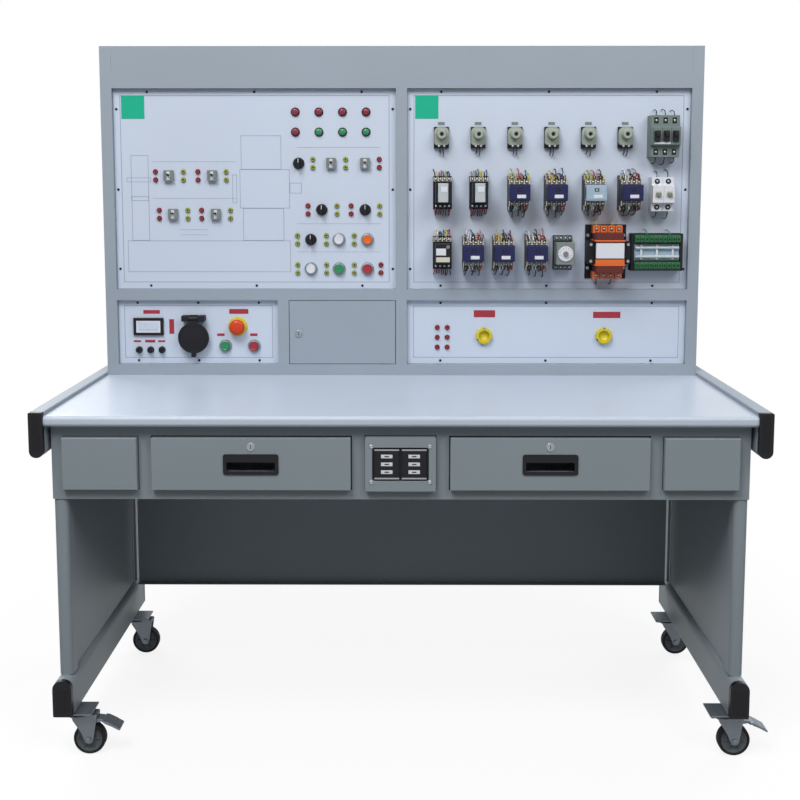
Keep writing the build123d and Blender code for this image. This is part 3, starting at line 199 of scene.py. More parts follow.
WHITE = "white_plastic"
RED = "red_plastic"
YELLOW = "yellow_plastic"
ORANGE = "orange_plastic"
STEEL = "bright_steel"
ZINC = "zinc_steel"
CABINET = "cabinet_paint"
DESK = "desk_paint"


def new_node(tree, kind, **settings):
    node = tree.nodes.new(kind)
    for key, value in settings.items():
        setattr(node, key, value)
    return node


def give(node, values):
    """Set the named inputs of a node."""
    for key, value in values.items():
        node.inputs[key].default_value = value


def join(tree, links):
    """Link nodes, each row giving a node and its output, a node and its input."""
    for source, output, target, socket in links:
        tree.links.new(source.outputs[output], target.inputs[socket])


def picked(sockets, identifier):
    return next(s for s in sockets if s.identifier == identifier)


def effect_group(name):
    """A shared surface effect: varied colour, varied roughness and a height for the bump."""
    found = bpy.data.node_groups.get(name)
    if found:
        return found
    group = bpy.data.node_groups.new(name, "ShaderNodeTree")
    for label, kind in (
        ("Place", "NodeSocketVector"), ("Colour", "NodeSocketColor"),
        ("Grain", "NodeSocketFloat"), ("Roughness", "NodeSocketFloat"),
    ):
        group.interface.new_socket(label, in_out="INPUT", socket_type=kind)
    for label, kind in (
        ("Colour", "NodeSocketColor"), ("Roughness", "NodeSocketFloat"),
        ("Height", "NodeSocketFloat"),
    ):
        group.interface.new_socket(label, in_out="OUTPUT", socket_type=kind)
    given = new_node(group, "NodeGroupInput")
    result = new_node(group, "NodeGroupOutput")
    stretch = {
        "Brushed metal": (1.0, 0.04, 1.0), "Lamination": (0.02, 1.0, 0.02),
    }.get(name, (1.0, 1.0, 1.0))
    turned = new_node(group, "ShaderNodeMapping")
    turned.inputs["Scale"].default_value = stretch
    fine = new_node(group, "ShaderNodeTexNoise")
    fine.inputs["Detail"].default_value = 3.0
    broad = new_node(group, "ShaderNodeTexNoise")
    give(broad, {"Scale": 3.2, "Detail": 5.0})
    join(group, (
        (given, "Place", turned, "Vector"), (turned, "Vector", fine, "Vector"),
        (given, "Grain", fine, "Scale"), (given, "Place", broad, "Vector"),
    ))
    spread = {"Laminate": 0.1, "Lamination": 0.9, "Brushed metal": 0.16}.get(name, 0.05)
    soil = 0.06 if name in ("Powder coat", "Laminate") else 0.04
    dark = new_node(group, "ShaderNodeMapRange")
    give(dark, {"To Min": 1.0 - soil, "To Max": 1.0 + soil})
    speck = new_node(group, "ShaderNodeMapRange")
    give(speck, {"To Min": 1.0 - spread, "To Max": 1.0 + spread})
    both = new_node(group, "ShaderNodeMath", operation="MULTIPLY")
    shade = new_node(group, "ShaderNodeVectorMath", operation="SCALE")
    join(group, (
        (broad, "Fac", dark, "Value"), (fine, "Fac", speck, "Value"), (dark, "Result", both, 0),
        (speck, "Result", both, 1), (given, "Colour", shade, 0), (both, "Value", shade, "Scale"),
        (shade, "Vector", result, "Colour"),
    ))
    rough = new_node(group, "ShaderNodeMapRange")
    give(rough, {"To Min": -0.06, "To Max": 0.06})
    total = new_node(group, "ShaderNodeMath", operation="ADD", use_clamp=True)
    join(group, (
        (fine, "Fac", rough, "Value"), (rough, "Result", total, 0),
        (given, "Roughness", total, 1), (total, "Value", result, "Roughness"),
        (fine, "Fac", result, "Height"),
    ))
    return group


def surfaced(name, tint, effect, grain, rough):
    """A material whose colour and roughness come from a shared surface effect."""
    made = bpy.data.materials.new(name)
    made.use_nodes = True
    tree = made.node_tree
    shader = tree.nodes["Principled BSDF"]
    place = new_node(tree, "ShaderNodeTexCoord")
    surface = new_node(tree, "ShaderNodeGroup", node_tree=effect_group(effect))
    give(surface, {"Colour": (*tint, 1.0), "Grain": grain, "Roughness": rough})
    join(tree, (
        (place, "Object", surface, "Place"), (surface, "Colour", shader, "Base Color"),
        (surface, "Roughness", shader, "Roughness"),
    ))
    return made, tree, shader, surface


def finish(name):
    """The procedural material of one finish, made when it is first asked for."""
    found = bpy.data.materials.get(f"{name}_finish")
    if found:
        return found
    colour_name, effect, grain, rough, metal, relief, coat = FINISHES[name]
    tint = getattr(bpy.context.scene.bench_colours, colour_name)
    made, tree, shader, surface = surfaced(f"{name}_finish", tint, effect, grain, rough)
    bump = new_node(tree, "ShaderNodeBump")
    give(bump, {"Strength": relief, "Distance": 0.3 * MM})
    join(tree, (
        (surface, "Height", bump, "Height"), (bump, "Normal", shader, "Normal"),
    ))
    give(shader, {
        "Metallic": metal, "Specular IOR Level": 0.22, "Coat Weight": coat, "Coat Roughness": 0.15,
    })
    made.diffuse_color = surface.inputs["Colour"].default_value
    return made


def window_glass():
    """Clear covers: a pale see-through plastic with a plain transmission."""
    found = bpy.data.materials.get("clear_cover")
    if found:
        return found
    made, _, shader, _ = surfaced(
        "clear_cover", tone(214, 226, 232), "Moulded plastic", 400, 0.18,
    )
    give(shader, {"Transmission Weight": 0.35, "IOR": 1.46})
    return made


def dress(node, name, extra=None):
    """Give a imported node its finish; extra(centre) may name another finish for a face."""
    data = frame["nodes"][node].data
    data.materials.clear()
    names = [name]
    data.materials.append(finish(name))
    for face in data.polygons:
        other = extra(face.center / MM) if extra else None
        if other and other not in names:
            names.append(other)
            data.materials.append(finish(other))
        face.material_index = names.index(other) if other else 0


def box(node):
    """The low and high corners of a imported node, in millimetres."""
    low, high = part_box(node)
    return low / MM, high / MM


def solids(node):
    """(low, high) corners of each separate solid of a node, in millimetres."""
    shape = bmesh.new()
    shape.from_mesh(frame["nodes"][node].data)
    bmesh.ops.remove_doubles(shape, verts=shape.verts, dist=1e-6)
    left, found = set(shape.verts), []
    while left:
        todo, seen = [left.pop()], []
        while todo:
            vert = todo.pop()
            seen.append(vert.co / MM)
            for edge in vert.link_edges:
                other = edge.other_vert(vert)
                if other in left:
                    left.remove(other)
                    todo.append(other)
        low = Vector([min(p[i] for p in seen) for i in range(3)])
        high = Vector([max(p[i] for p in seen) for i in range(3)])
        found.append((low, high))
    shape.free()
    return sorted(found, key=lambda b: (round(b[0].x, 1), round(b[0].z, 1), round(b[0].y, 1)))


def middle(corners):
    return (corners[0] + corners[1]) / 2


def seat(corners):
    """Both corners of a solid, and its middle across and up."""
    centre = middle(corners)
    return (*corners, centre.x, centre.z)


def span(centre, side, near, far):
    """Two distances to one side of a centre (-1 or 1), the lower place first."""
    return sorted((centre + side * near, centre + side * far))


def spot(along, a, b, h):
    """A point given across an axis and along it."""
    return {"x": (h, a, b), "y": (a, h, b), "z": (a, b, h)}[along]


def rounded(a, b, low=0.0, high=0.0, steps=5):
    """A rectangle's outline; low rounds its two lower corners and high its two upper ones."""
    points = []
    corners = (
        (a[1], b[0], low, -1, 1, -90), (a[1], b[1], high, -1, -1, 0),
        (a[0], b[1], high, 1, -1, 90), (a[0], b[0], low, 1, 1, 180),
    )
    for x, z, radius, dx, dz, start in corners:
        if radius <= 0:
            points.append((x, z))
            continue
        for step in range(steps + 1):
            angle = math.radians(start + 90 * step / steps)
            points.append((
                x + dx * radius + radius * math.cos(angle),
                z + dz * radius + radius * math.sin(angle),
            ))
    return points


def ray(x, z, angle, near, far, half):
    """The outline of a thin bar that runs out from a centre."""
    along, across = math.cos(angle), math.sin(angle)
    return [
        (x + reach * along - side * half * across, z + reach * across + side * half * along)
        for reach, side in ((near, 1), (near, -1), (far, -1), (far, 1))
    ]


class Form:
    """A piece under way. Each shape that is added to it takes one finish."""

    def __init__(self, name):
        self.name = name
        self.mesh = bmesh.new()
        self.finishes = []

    def _take(self, faces, name, soft, steps):
        known = set(self.mesh.faces) - set(faces)
        if soft > 0:
            edges = {edge for face in faces for edge in face.edges}
            bmesh.ops.bevel(
                self.mesh, geom=list(edges), offset=soft, segments=steps, profile=0.5,
                affect="EDGES", clamp_overlap=True,
            )
            faces = [face for face in self.mesh.faces if face not in known]
        bmesh.ops.recalc_face_normals(self.mesh, faces=faces)
        if name not in self.finishes:
            self.finishes.append(name)
        for face in faces:
            face.material_index = self.finishes.index(name)
            face.smooth = True

    def prism(self, outline, along, low, high, name, soft=0.0, steps=2):
        """A closed outline across an axis, pulled along it."""
        rings = [
            [self.mesh.verts.new(spot(along, a, b, h)) for a, b in outline] for h in (low, high)
        ]
        faces = [self.mesh.faces.new(ring) for ring in rings]
        for i in range(len(outline)):
            j = (i + 1) % len(outline)
            faces.append(self.mesh.faces.new((rings[0][i], rings[0][j], rings[1][j], rings[1][i])))
        self._take(faces, name, soft, steps)

    def block(self, x, y, z, name, soft=0.0, steps=2):
        """A bar between two values on each axis."""
        self.prism(rounded(x, y), "z", z[0], z[1], name, soft, steps)

    def bars(self, at, rows):
        """Bars given by their offsets from a point on X, Y and Z, finish and soft edge."""
        for x0, x1, y0, y1, z0, z1, *look in rows:
            x, y, z = at
            self.block((x + x0, x + x1), (y + y0, y + y1), (z + z0, z + z1), *look)

    def turned(self, profile, centre, along, name, sides=24, ring=False, start=0.0, base=0.0):
        """A round body from its profile of radii and places along the axis, from a base."""
        rings = []
        for radius, offset in profile:
            h = base + offset
            if radius < 1e-6:
                rings.append([self.mesh.verts.new(spot(along, *centre, h))])
                continue
            rings.append([
                self.mesh.verts.new(spot(
                    along,
                    centre[0] + radius * math.cos(start + 2 * math.pi * i / sides),
                    centre[1] + radius * math.sin(start + 2 * math.pi * i / sides), h,
                ))
                for i in range(sides)
            ])
        faces = []
        pairs = list(zip(rings, rings[1:])) + ([(rings[-1], rings[0])] if ring else [])
        for one, two in pairs:
            for i in range(sides):
                j = (i + 1) % sides
                around = ((one, i), (one, j), (two, j), (two, i))
                corners = [end[k % len(end)] for end, k in around]
                unique = list(dict.fromkeys(corners))
                faces.append(self.mesh.faces.new(unique))
        if not ring:
            for end in (rings[0], rings[-1]):
                if len(end) > 1:
                    faces.append(self.mesh.faces.new(end))
        self._take(faces, name, 0.0, 1)

    def object(self, angle=32.0):
        """The finished mesh, in metres, as an object at the origin."""
        bmesh.ops.scale(self.mesh, vec=(MM, MM, MM), verts=self.mesh.verts)
        data = bpy.data.meshes.new(self.name)
        self.mesh.to_mesh(data)
        self.mesh.free()
        for name in self.finishes:
            data.materials.append(finish(name) if name in FINISHES else window_glass())
        made = bpy.data.objects.new(self.name, data)
        bpy.context.scene.collection.objects.link(made)
        return evened(made, angle)

    def piece(self, body="bench", stands_for=(), angle=32.0, cuts=None):
        """The finished piece, riding on its body and standing for its solids."""
        made = self.object(angle)
        if cuts:
            made = cut_out(made, cuts.object(angle), angle)
        return settle(made, body, stands_for)


def settle(made, body, stands_for=()):
    """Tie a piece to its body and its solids."""
    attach(made, body)
    if stands_for:
        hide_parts(*stands_for)
    return made


def baked(made, tool):
    """Turn a modifier's result into the object's own mesh and take the modifier off."""
    view = bpy.context.evaluated_depsgraph_get()
    view.update()
    data = bpy.data.meshes.new_from_object(made.evaluated_get(view))
    made.modifiers.remove(tool)
    old, made.data = made.data, data
    data.name = old.name
    bpy.data.meshes.remove(old)
    return made


def evened(made, angle):
    """Weigh the normals by face area, so that flat faces shade flat beside their bevels."""
    made.data.set_sharp_from_angle(angle=math.radians(angle))
    tool = made.modifiers.new("Even", "WEIGHTED_NORMAL")
    tool.keep_sharp = True
    tool.weight = 90
    return baked(made, tool)


def cut_out(made, cutter, angle):
    """Take one object out of another."""
    tool = made.modifiers.new("Cut", "BOOLEAN")
    tool.operation = "DIFFERENCE"
    tool.solver = "EXACT"
    tool.object = cutter
    baked(made, tool)
    bpy.data.objects.remove(cutter)
    return evened(made, angle)


def node_tree(name, inputs):
    """An empty Geometry Nodes tree with named inputs and a geometry in and out."""
    tree = bpy.data.node_groups.new(name, "GeometryNodeTree")
    tree.interface.new_socket("Geometry", in_out="INPUT", socket_type="NodeSocketGeometry")
    for label, kind in inputs:
        tree.interface.new_socket(label, in_out="INPUT", socket_type=kind)
    tree.interface.new_socket("Geometry", in_out="OUTPUT", socket_type="NodeSocketGeometry")
    return tree


def close_tree(tree, geometry, given):
    """Every tree ends in Realize Instances and Set Material."""
    real = new_node(tree, "GeometryNodeRealizeInstances")
    paint = new_node(tree, "GeometryNodeSetMaterial")
    smooth = new_node(tree, "GeometryNodeSetShadeSmooth")
    out = new_node(tree, "NodeGroupOutput")
    tree.links.new(geometry, real.inputs["Geometry"])
    join(tree, (
        (real, "Geometry", smooth, "Geometry"), (smooth, "Geometry", paint, "Geometry"),
        (given, "Finish", paint, "Material"), (paint, "Geometry", out, 0),
    ))


def fittings_tree():
    """Sets one fitting on each given point."""
    found = bpy.data.node_groups.get("Fittings at places")
    if found:
        return found
    tree = node_tree("Fittings at places", (
        ("Fitting", "NodeSocketObject"), ("Scale", "NodeSocketFloat"),
        ("Turn", "NodeSocketFloat"), ("Finish", "NodeSocketMaterial"),
    ))
    given = new_node(tree, "NodeGroupInput")
    source = new_node(tree, "GeometryNodeObjectInfo")
    turn = new_node(tree, "FunctionNodeRandomValue", data_type="FLOAT")
    spin = new_node(tree, "ShaderNodeCombineXYZ")
    place = new_node(tree, "GeometryNodeInstanceOnPoints")
    link = tree.links.new
    picked(turn.inputs, "Seed").default_value = 5
    join(tree, (
        (given, "Fitting", source, "Object"), (given, "Geometry", place, "Points"),
        (source, "Geometry", place, "Instance"),
    ))
    link(given.outputs["Turn"], picked(turn.inputs, "Max_001"))
    link(picked(turn.outputs, "Value_001"), spin.inputs["Y"])
    join(tree, (
        (spin, "Vector", place, "Rotation"), (given, "Scale", place, "Scale"),
    ))
    close_tree(tree, place.outputs["Instances"], given)
    return tree


def row_tree():
    """Sets a row of like slats or ribs at an even pitch."""
    found = bpy.data.node_groups.get("Row of slats")
    if found:
        return found
    tree = node_tree("Row of slats", (
        ("Slat", "NodeSocketObject"), ("Count", "NodeSocketInt"), ("Start", "NodeSocketVector"),
        ("Pitch", "NodeSocketVector"), ("Finish", "NodeSocketMaterial"),
    ))
    given = new_node(tree, "NodeGroupInput")
    source = new_node(tree, "GeometryNodeObjectInfo")
    line = new_node(tree, "GeometryNodeMeshLine")
    place = new_node(tree, "GeometryNodeInstanceOnPoints")
    join(tree, (
        (given, "Slat", source, "Object"), (given, "Count", line, "Count"),
        (given, "Start", line, "Start Location"), (given, "Pitch", line, "Offset"),
        (line, "Mesh", place, "Points"), (source, "Geometry", place, "Instance"),
    ))
    close_tree(tree, place.outputs["Instances"], given)
    return tree


def wire_tree():
    """Rounds each given path into a smooth wire."""
    found = bpy.data.node_groups.get("Wires along paths")
    if found:
        return found
    tree = node_tree("Wires along paths", (
        ("Radius", "NodeSocketFloat"), ("Sides", "NodeSocketInt"), ("Finish", "NodeSocketMaterial"),
    ))
    given = new_node(tree, "NodeGroupInput")
    path = new_node(tree, "GeometryNodeMeshToCurve")
    kind = new_node(tree, "GeometryNodeCurveSplineType", spline_type="BEZIER")
    ends = new_node(tree, "GeometryNodeCurveSetHandles", handle_type="AUTO")
    steps = new_node(tree, "GeometryNodeSetSplineResolution")
    steps.inputs["Resolution"].default_value = 4
    circle = new_node(tree, "GeometryNodeCurvePrimitiveCircle")
    skin = new_node(tree, "GeometryNodeCurveToMesh")
    skin.inputs["Fill Caps"].default_value = True
    join(tree, (
        (given, "Geometry", path, "Mesh"), (path, "Curve", kind, "Curve"),
        (kind, "Curve", ends, "Curve"), (ends, "Curve", steps, 0),
        (given, "Radius", circle, "Radius"), (given, "Sides", circle, "Resolution"),
        (steps, 0, skin, "Curve"), (circle, "Curve", skin, "Profile Curve"),
    ))
    close_tree(tree, skin.outputs["Mesh"], given)
    return tree


def grown(name, tree, values, points=(), edges=()):
    """Run a Geometry Nodes tree on loose points or paths and keep its result as a mesh."""
    data = bpy.data.meshes.new(name)
    data.from_pydata([Vector(p) * MM for p in points], edges, [])
    made = bpy.data.objects.new(name, data)
    bpy.context.scene.collection.objects.link(made)
    tool = made.modifiers.new(name, "NODES")
    tool.node_group = tree
    for item in tree.interface.items_tree:
        if item.in_out == "INPUT" and item.name in values:
            tool[item.identifier] = values[item.name]
    baked(made, tool)
    made.data.set_sharp_from_angle(angle=math.radians(32))
    return made


def repeat(name, fitting, places, turn=0.0, stands_for=()):
    """One fitting, drawn at the origin, on each place; it becomes one piece."""
    source = fitting.object()
    made = grown(
        name, fittings_tree(),
        {"Fitting": source, "Scale": 1.0, "Turn": turn, "Finish": source.data.materials[0]},
        points=places,
    )
    bpy.data.objects.remove(source)
    return settle(made, "bench", stands_for)


def row(name, slat, count, start, pitch, body="bench"):
    """One slat, drawn at its first place, repeated at an even pitch as one piece."""
    source = slat.object()
    made = grown(name, row_tree(), {
        "Slat": source, "Count": count, "Start": tuple(Vector(start) * MM),
        "Pitch": tuple(Vector(pitch) * MM), "Finish": source.data.materials[0],
    })
    bpy.data.objects.remove(source)
    return settle(made, body)


def wires(name, paths, colour_name):
    """One piece of all wires of a colour."""
    points, edges = [], []
    for path in paths:
        edges += [(len(points) + i, len(points) + i + 1) for i in range(len(path) - 1)]
        points += path
    made = grown(name, wire_tree(), {
        "Radius": bpy.context.scene.bench_sizes.wire, "Sides": 8, "Finish": finish(colour_name),
    }, points, edges)
    return settle(made, "bench")


def screw_head(radius, height, cross=True, name=STEEL):
    """A pan head at the origin that faces the front, with a cross cut in it."""
    form = Form("screw")
    form.turned(
        [(radius, 0.0), (radius, -height * 0.45), (radius * 0.8, -height * 0.85),
         (radius * 0.45, -height), (radius * 0.4, -height * 0.55), (0.0, -height * 0.5)]
        if cross else
        [(radius, 0.0), (radius, -height * 0.6), (radius * 0.85, -height), (0.0, -height)],
        (0.0, 0.0), "y", name, sides=14,
    )
    return form


class Maker:
    """What the bench's operators share."""

    bl_options = {"REGISTER"}

    def execute(self, context):
        self.make(context)
        return {"FINISHED"}


class BENCH_OT_desk(Maker, bpy.types.Operator):
    """Finish the desk board, the apron, the modesty panel and the drawer housings, with black
    strips of painted shadow round the fronts
    """

    bl_idname = "bench.desk"
    bl_label = "Desk"

    def make(self, context):
        dress("desk_top", "desk_laminate")
        dress("apron", DESK)
        dress("modesty_panel", DESK)
        dress("drawer_carcass", STEEL)
        # Black strips on the apron round each drawer front, blank and the outlet plate are painted
        # shadow, standing in for the shade between the fronts and the apron.
        gap_shadows = Form("front_gaps")
        drawer, blank, outlets = (225, 60, 2.6), (85, 60, 1.4), (80, 62, 1.4)
        for x, (half, rise, width) in (
            (-337.5, drawer), (337.5, drawer), (-680, blank), (680, blank), (0, outlets),
        ):
            wide, tall = half + width, rise + width
            sides = (x - wide, x + wide), (DRAWER_LEVEL - tall, DRAWER_LEVEL + tall)
            panel_strips(gap_shadows, sides, width + 1.5, BLACK, 0.3, APRON_FACE)
        gap_shadows.piece()


class BENCH_OT_side_frames(Maker, bpy.types.Operator):
    """Build the side frames: rounded columns, leg panels, foot rails and caster plates"""

    bl_idname = "bench.side_frames"
    bl_label = "Side Frames"

    def make(self, context):
        for hand in ("left", "right"):
            node = f"side_panel_{hand}"
            form = Form(f"side_frame_{hand}")
            for low, high in solids(node):
                x, y, z = zip(low, high)
                tall, wide = z[1] - z[0], y[1] - y[0]
                if tall > 400 and wide < 60:
                    front = y[0] < 0
                    outline = rounded(x, y, 12.0 if front else 2.0, 2.0 if front else 12.0)
                    form.prism(outline, "z", z[0], z[1], DESK)
                elif tall > 400:
                    form.block(x, y, z, DESK, 1.0)
                    for edge in (y[0] + 3.0, y[1] - 17.0):
                        form.block((x[0] - 1.2, x[1] + 1.2), (edge, edge + 14.0), z, DESK, 0.8)
                elif wide > 400:
                    form.prism(rounded(x, z, 3.0, 20.0, 7), "y", y[0], y[1], DESK)
                else:
                    self.caster_plate(form, middle((low, high)), high.z)
            form.piece(stands_for=[node])

    def caster_plate(self, form, centre, top):
        """A bolted plate with a double ball race and the kingpin's riveted end."""
        x, y = centre.x, centre.y
        form.block((x - 38, x + 38), (y - 32, y + 32), (top - 4, top), ZINC, 1.0)
        form.turned(
            [(0, -4), (21, -4), (22, -5.5), (21.5, -8), (17, -9), (0, -9)], (x, y), "z",
            ZINC, 36, base=top,
        )
        form.turned(
            [(0, -9), (4.9, -9), (4.9, -17.5), (4, -18), (0, -18)], (x, y), "z", ZINC,
            20, base=top,
        )
        for dx in (-30, 30):
            for dy in (-24, 24):
                form.turned(
                    [(0, -4), (5.5, -4), (5.5, -7.5), (4.6, -8.2), (0, -8.2)], (x + dx, y + dy),
                    "z", ZINC, 6, base=top,
                )


class BENCH_OT_rails(Maker, bpy.types.Operator):
    """Build the side rails and the ribbed end caps of all rails"""

    bl_idname = "bench.rails"
    bl_label = "Rails and Caps"

    def make(self, context):
        sizes = context.scene.bench_sizes
        form = Form("side_rail_pair")
        for low, high in solids("side_rails"):
            x, y, z = zip(low, high)
            form.prism(rounded(x, z, 15.0, 2.5, 7), "y", y[0], y[1], CABINET)
        form.piece(stands_for=["side_rails"])
        form = Form("end_cap_set")
        fronts = []
        for low, high in solids("end_caps"):
            x, y, z = zip(low, high)
            at_front = y[0] < 0
            upper = z[0] > 400
            face, root = (y[0] + 0.9, y[0] + 14.0) if at_front else (y[1] - 0.9, y[1] - 14.0)
            outline = rounded(x, z, 15.0, 3.0, 7) if upper else rounded(x, z, 3.0, 20.0, 7)
            form.prism(outline, "y", face, root, BLACK, 1.6)
            if at_front:
                fronts.append((x, z, y[0], upper))
        form.piece(stands_for=["end_caps"], angle=40)
        for number, (x, z, face, upper) in enumerate(fronts):
            rib = Form("rib")
            low, high = (z[0] + 15, z[1] - 6) if upper else (z[0] + 6, z[1] - 19)
            rib.block((-0.8, 0.8), (face, face + 1.4), (low, high), BLACK, 0.3, 1)
            pitch = sizes.rib_pitch / MM
            count = int((x[1] - x[0] - 8) / pitch)
            start = (x[0] + x[1]) / 2 - pitch * (count - 1) / 2
            row(f"cap_ribs_{number + 1}", rib, count, (start, 0, 0), (pitch, 0, 0))


class BENCH_OT_drawers(Maker, bpy.types.Operator):
    """Build both drawers: fronts, trays, recessed handles, locks and slides"""

    bl_idname = "bench.drawers"
    bl_label = "Drawers"

    def make(self, context):
        for hand in ("left", "right"):
            body = node = f"drawer_{hand}"
            low, high = box(node)
            x, z, face = (low.x + high.x) / 2, DRAWER_LEVEL, DRAWER_FACE
            inside = face + 16.0
            front = Form(f"drawer_front_{hand}")
            front.block((x - 225, x + 225), (face, inside), (z - 60, z + 60), DESK, 1.3)
            hole = Form("hole")
            hole.block((x - 57, x + 57), (face - 5, inside + 5), (z - 18, z + 18), DESK)
            front.piece(body, [node], cuts=hole)
            tray = Form(f"drawer_tray_{hand}")
            half, deep, sheet = 201.0, 450.0, 1.5
            back = inside + deep
            walls = (z - 42.5, z + 44)
            tray.block((x - half, x + half), (inside, back), (z - 44, z - 42.5), STEEL)
            tray.block((x - half, x + half), (back - sheet, back), walls, STEEL)
            for side in (-1, 1):
                edge = span(x, side, half, half - sheet)
                tray.block(edge, (inside, back - sheet), walls, STEEL, 0.2)
                rail = span(x, side, half, half + 9.7)
                tray.block(rail, (inside + 4, inside + 434), (z - 14.7, z + 14.7), STEEL, 1.5)
            tray.piece(body)
            pull = Form(f"drawer_handle_{hand}")
            rim = rounded((x - 62.5, x + 62.5), (z - 23.5, z + 23.5), 5, 5)
            pull.prism(rim, "y", face - 2.5, face, BLACK, 0.9)
            pull.block((x - 56.5, x + 56.5), (face - 0.5, face + 15), (z - 17.5, z + 17.5), BLACK)
            cup = Form("cup")
            cup.bars((x, face, z), (
                (-54.5, 54.5, -9, 13, -15.5, 5.2, BLACK, 1.5),
                (-54.5, 54.5, 2.5, 13.1, 2, 15.5, BLACK, 1.2),
            ))
            pull.piece(body, cuts=cup)
            lock = Form(f"drawer_lock_{hand}")
            cylinder_lock(lock, x, z + 40, face, inside + 6)
            lock.block((x - 24, x + 8), (inside + 4, inside + 6), (z + 36, z + 44), STEEL, 0.4)
            lock.piece(body)


def cylinder_lock(form, x, z, face, tail):
    """A plated cam lock: rim, sunk plug and keyway, the keyway a black strip of painted shade."""
    form.turned(
        [(0, tail - face), (7.8, tail - face), (7.8, 0), (10, 0), (10, -0.7), (9.2, -1.5),
         (6.9, -1.5), (6.6, -0.4), (0, -0.4)], (x, z), "y", STEEL, 32, base=face,
    )
    # The black strip is painted shade for the keyway's slot.
    form.block((x - 0.8, x + 0.8), (face - 0.6, face - 0.3), (z - 4.5, z + 4.5), BLACK)


class BENCH_OT_outlets(Maker, bpy.types.Operator):
    """Build the outlet bank in the apron"""

    bl_idname = "bench.outlets"
    bl_label = "Outlet Bank"

    def make(self, context):
        z, face = DRAWER_LEVEL, DRAWER_FACE
        plate = Form("outlet_plate")
        plate.prism(rounded((-80, 80), (z - 62, z + 62), 3, 3), "y", face, face + 16, DESK, 1.2)
        well = Form("well")
        well.prism(rounded((-64, 64), (z - 39, z + 39), 6, 6), "y", face - 5, face + 8, BLACK)
        plate.piece(stands_for=["outlet_bank"], cuts=well)
        body = Form("outlet_modules")
        body.prism(rounded((-64, 64), (z - 39, z + 39), 6, 6), "y", face + 7.4, face + 8.4, BLACK)
        body.block((-67, 67), (face + 16, face + 56), (z - 49, z + 49), BLACK, 2)
        for x in (-31, 31):
            body.bars((x, face, z), (
                (-28, 28, 2.6, 8, -35, 35, BLACK, 1.4),
                (-28, 28, 2.2, 3, 31, 34.6, STEEL, 0.3),
                (-28, 28, 2.2, 3, -34.6, -31, STEEL, 0.3),
            ))
            for step in (-1, 0, 1):
                level = z + 18 * step
                # The black slit in each white pole patch is painted shade for the pole's hole.
                body.bars((x, face, level), (
                    (-13, 13, 1.9, 3, -4.2, 4.2, WHITE, 0.6),
                    (-5, 5, 1.7, 2.2, -1.3, 1.3, BLACK),
                ))
                for side in (-1, 1):
                    body.block(
                        span(x, side, 16, 25), (face + 2.2, face + 3),
                        (level - 5, level + 5), BLACK, 0.5,
                    )
        body.piece()
        corners = [(side * 66, face, z + rise * 41) for side in (-1, 1) for rise in (-1, 1)]
        repeat("outlet_screws", screw_head(4.6, 2.0), corners, turn=1.5)


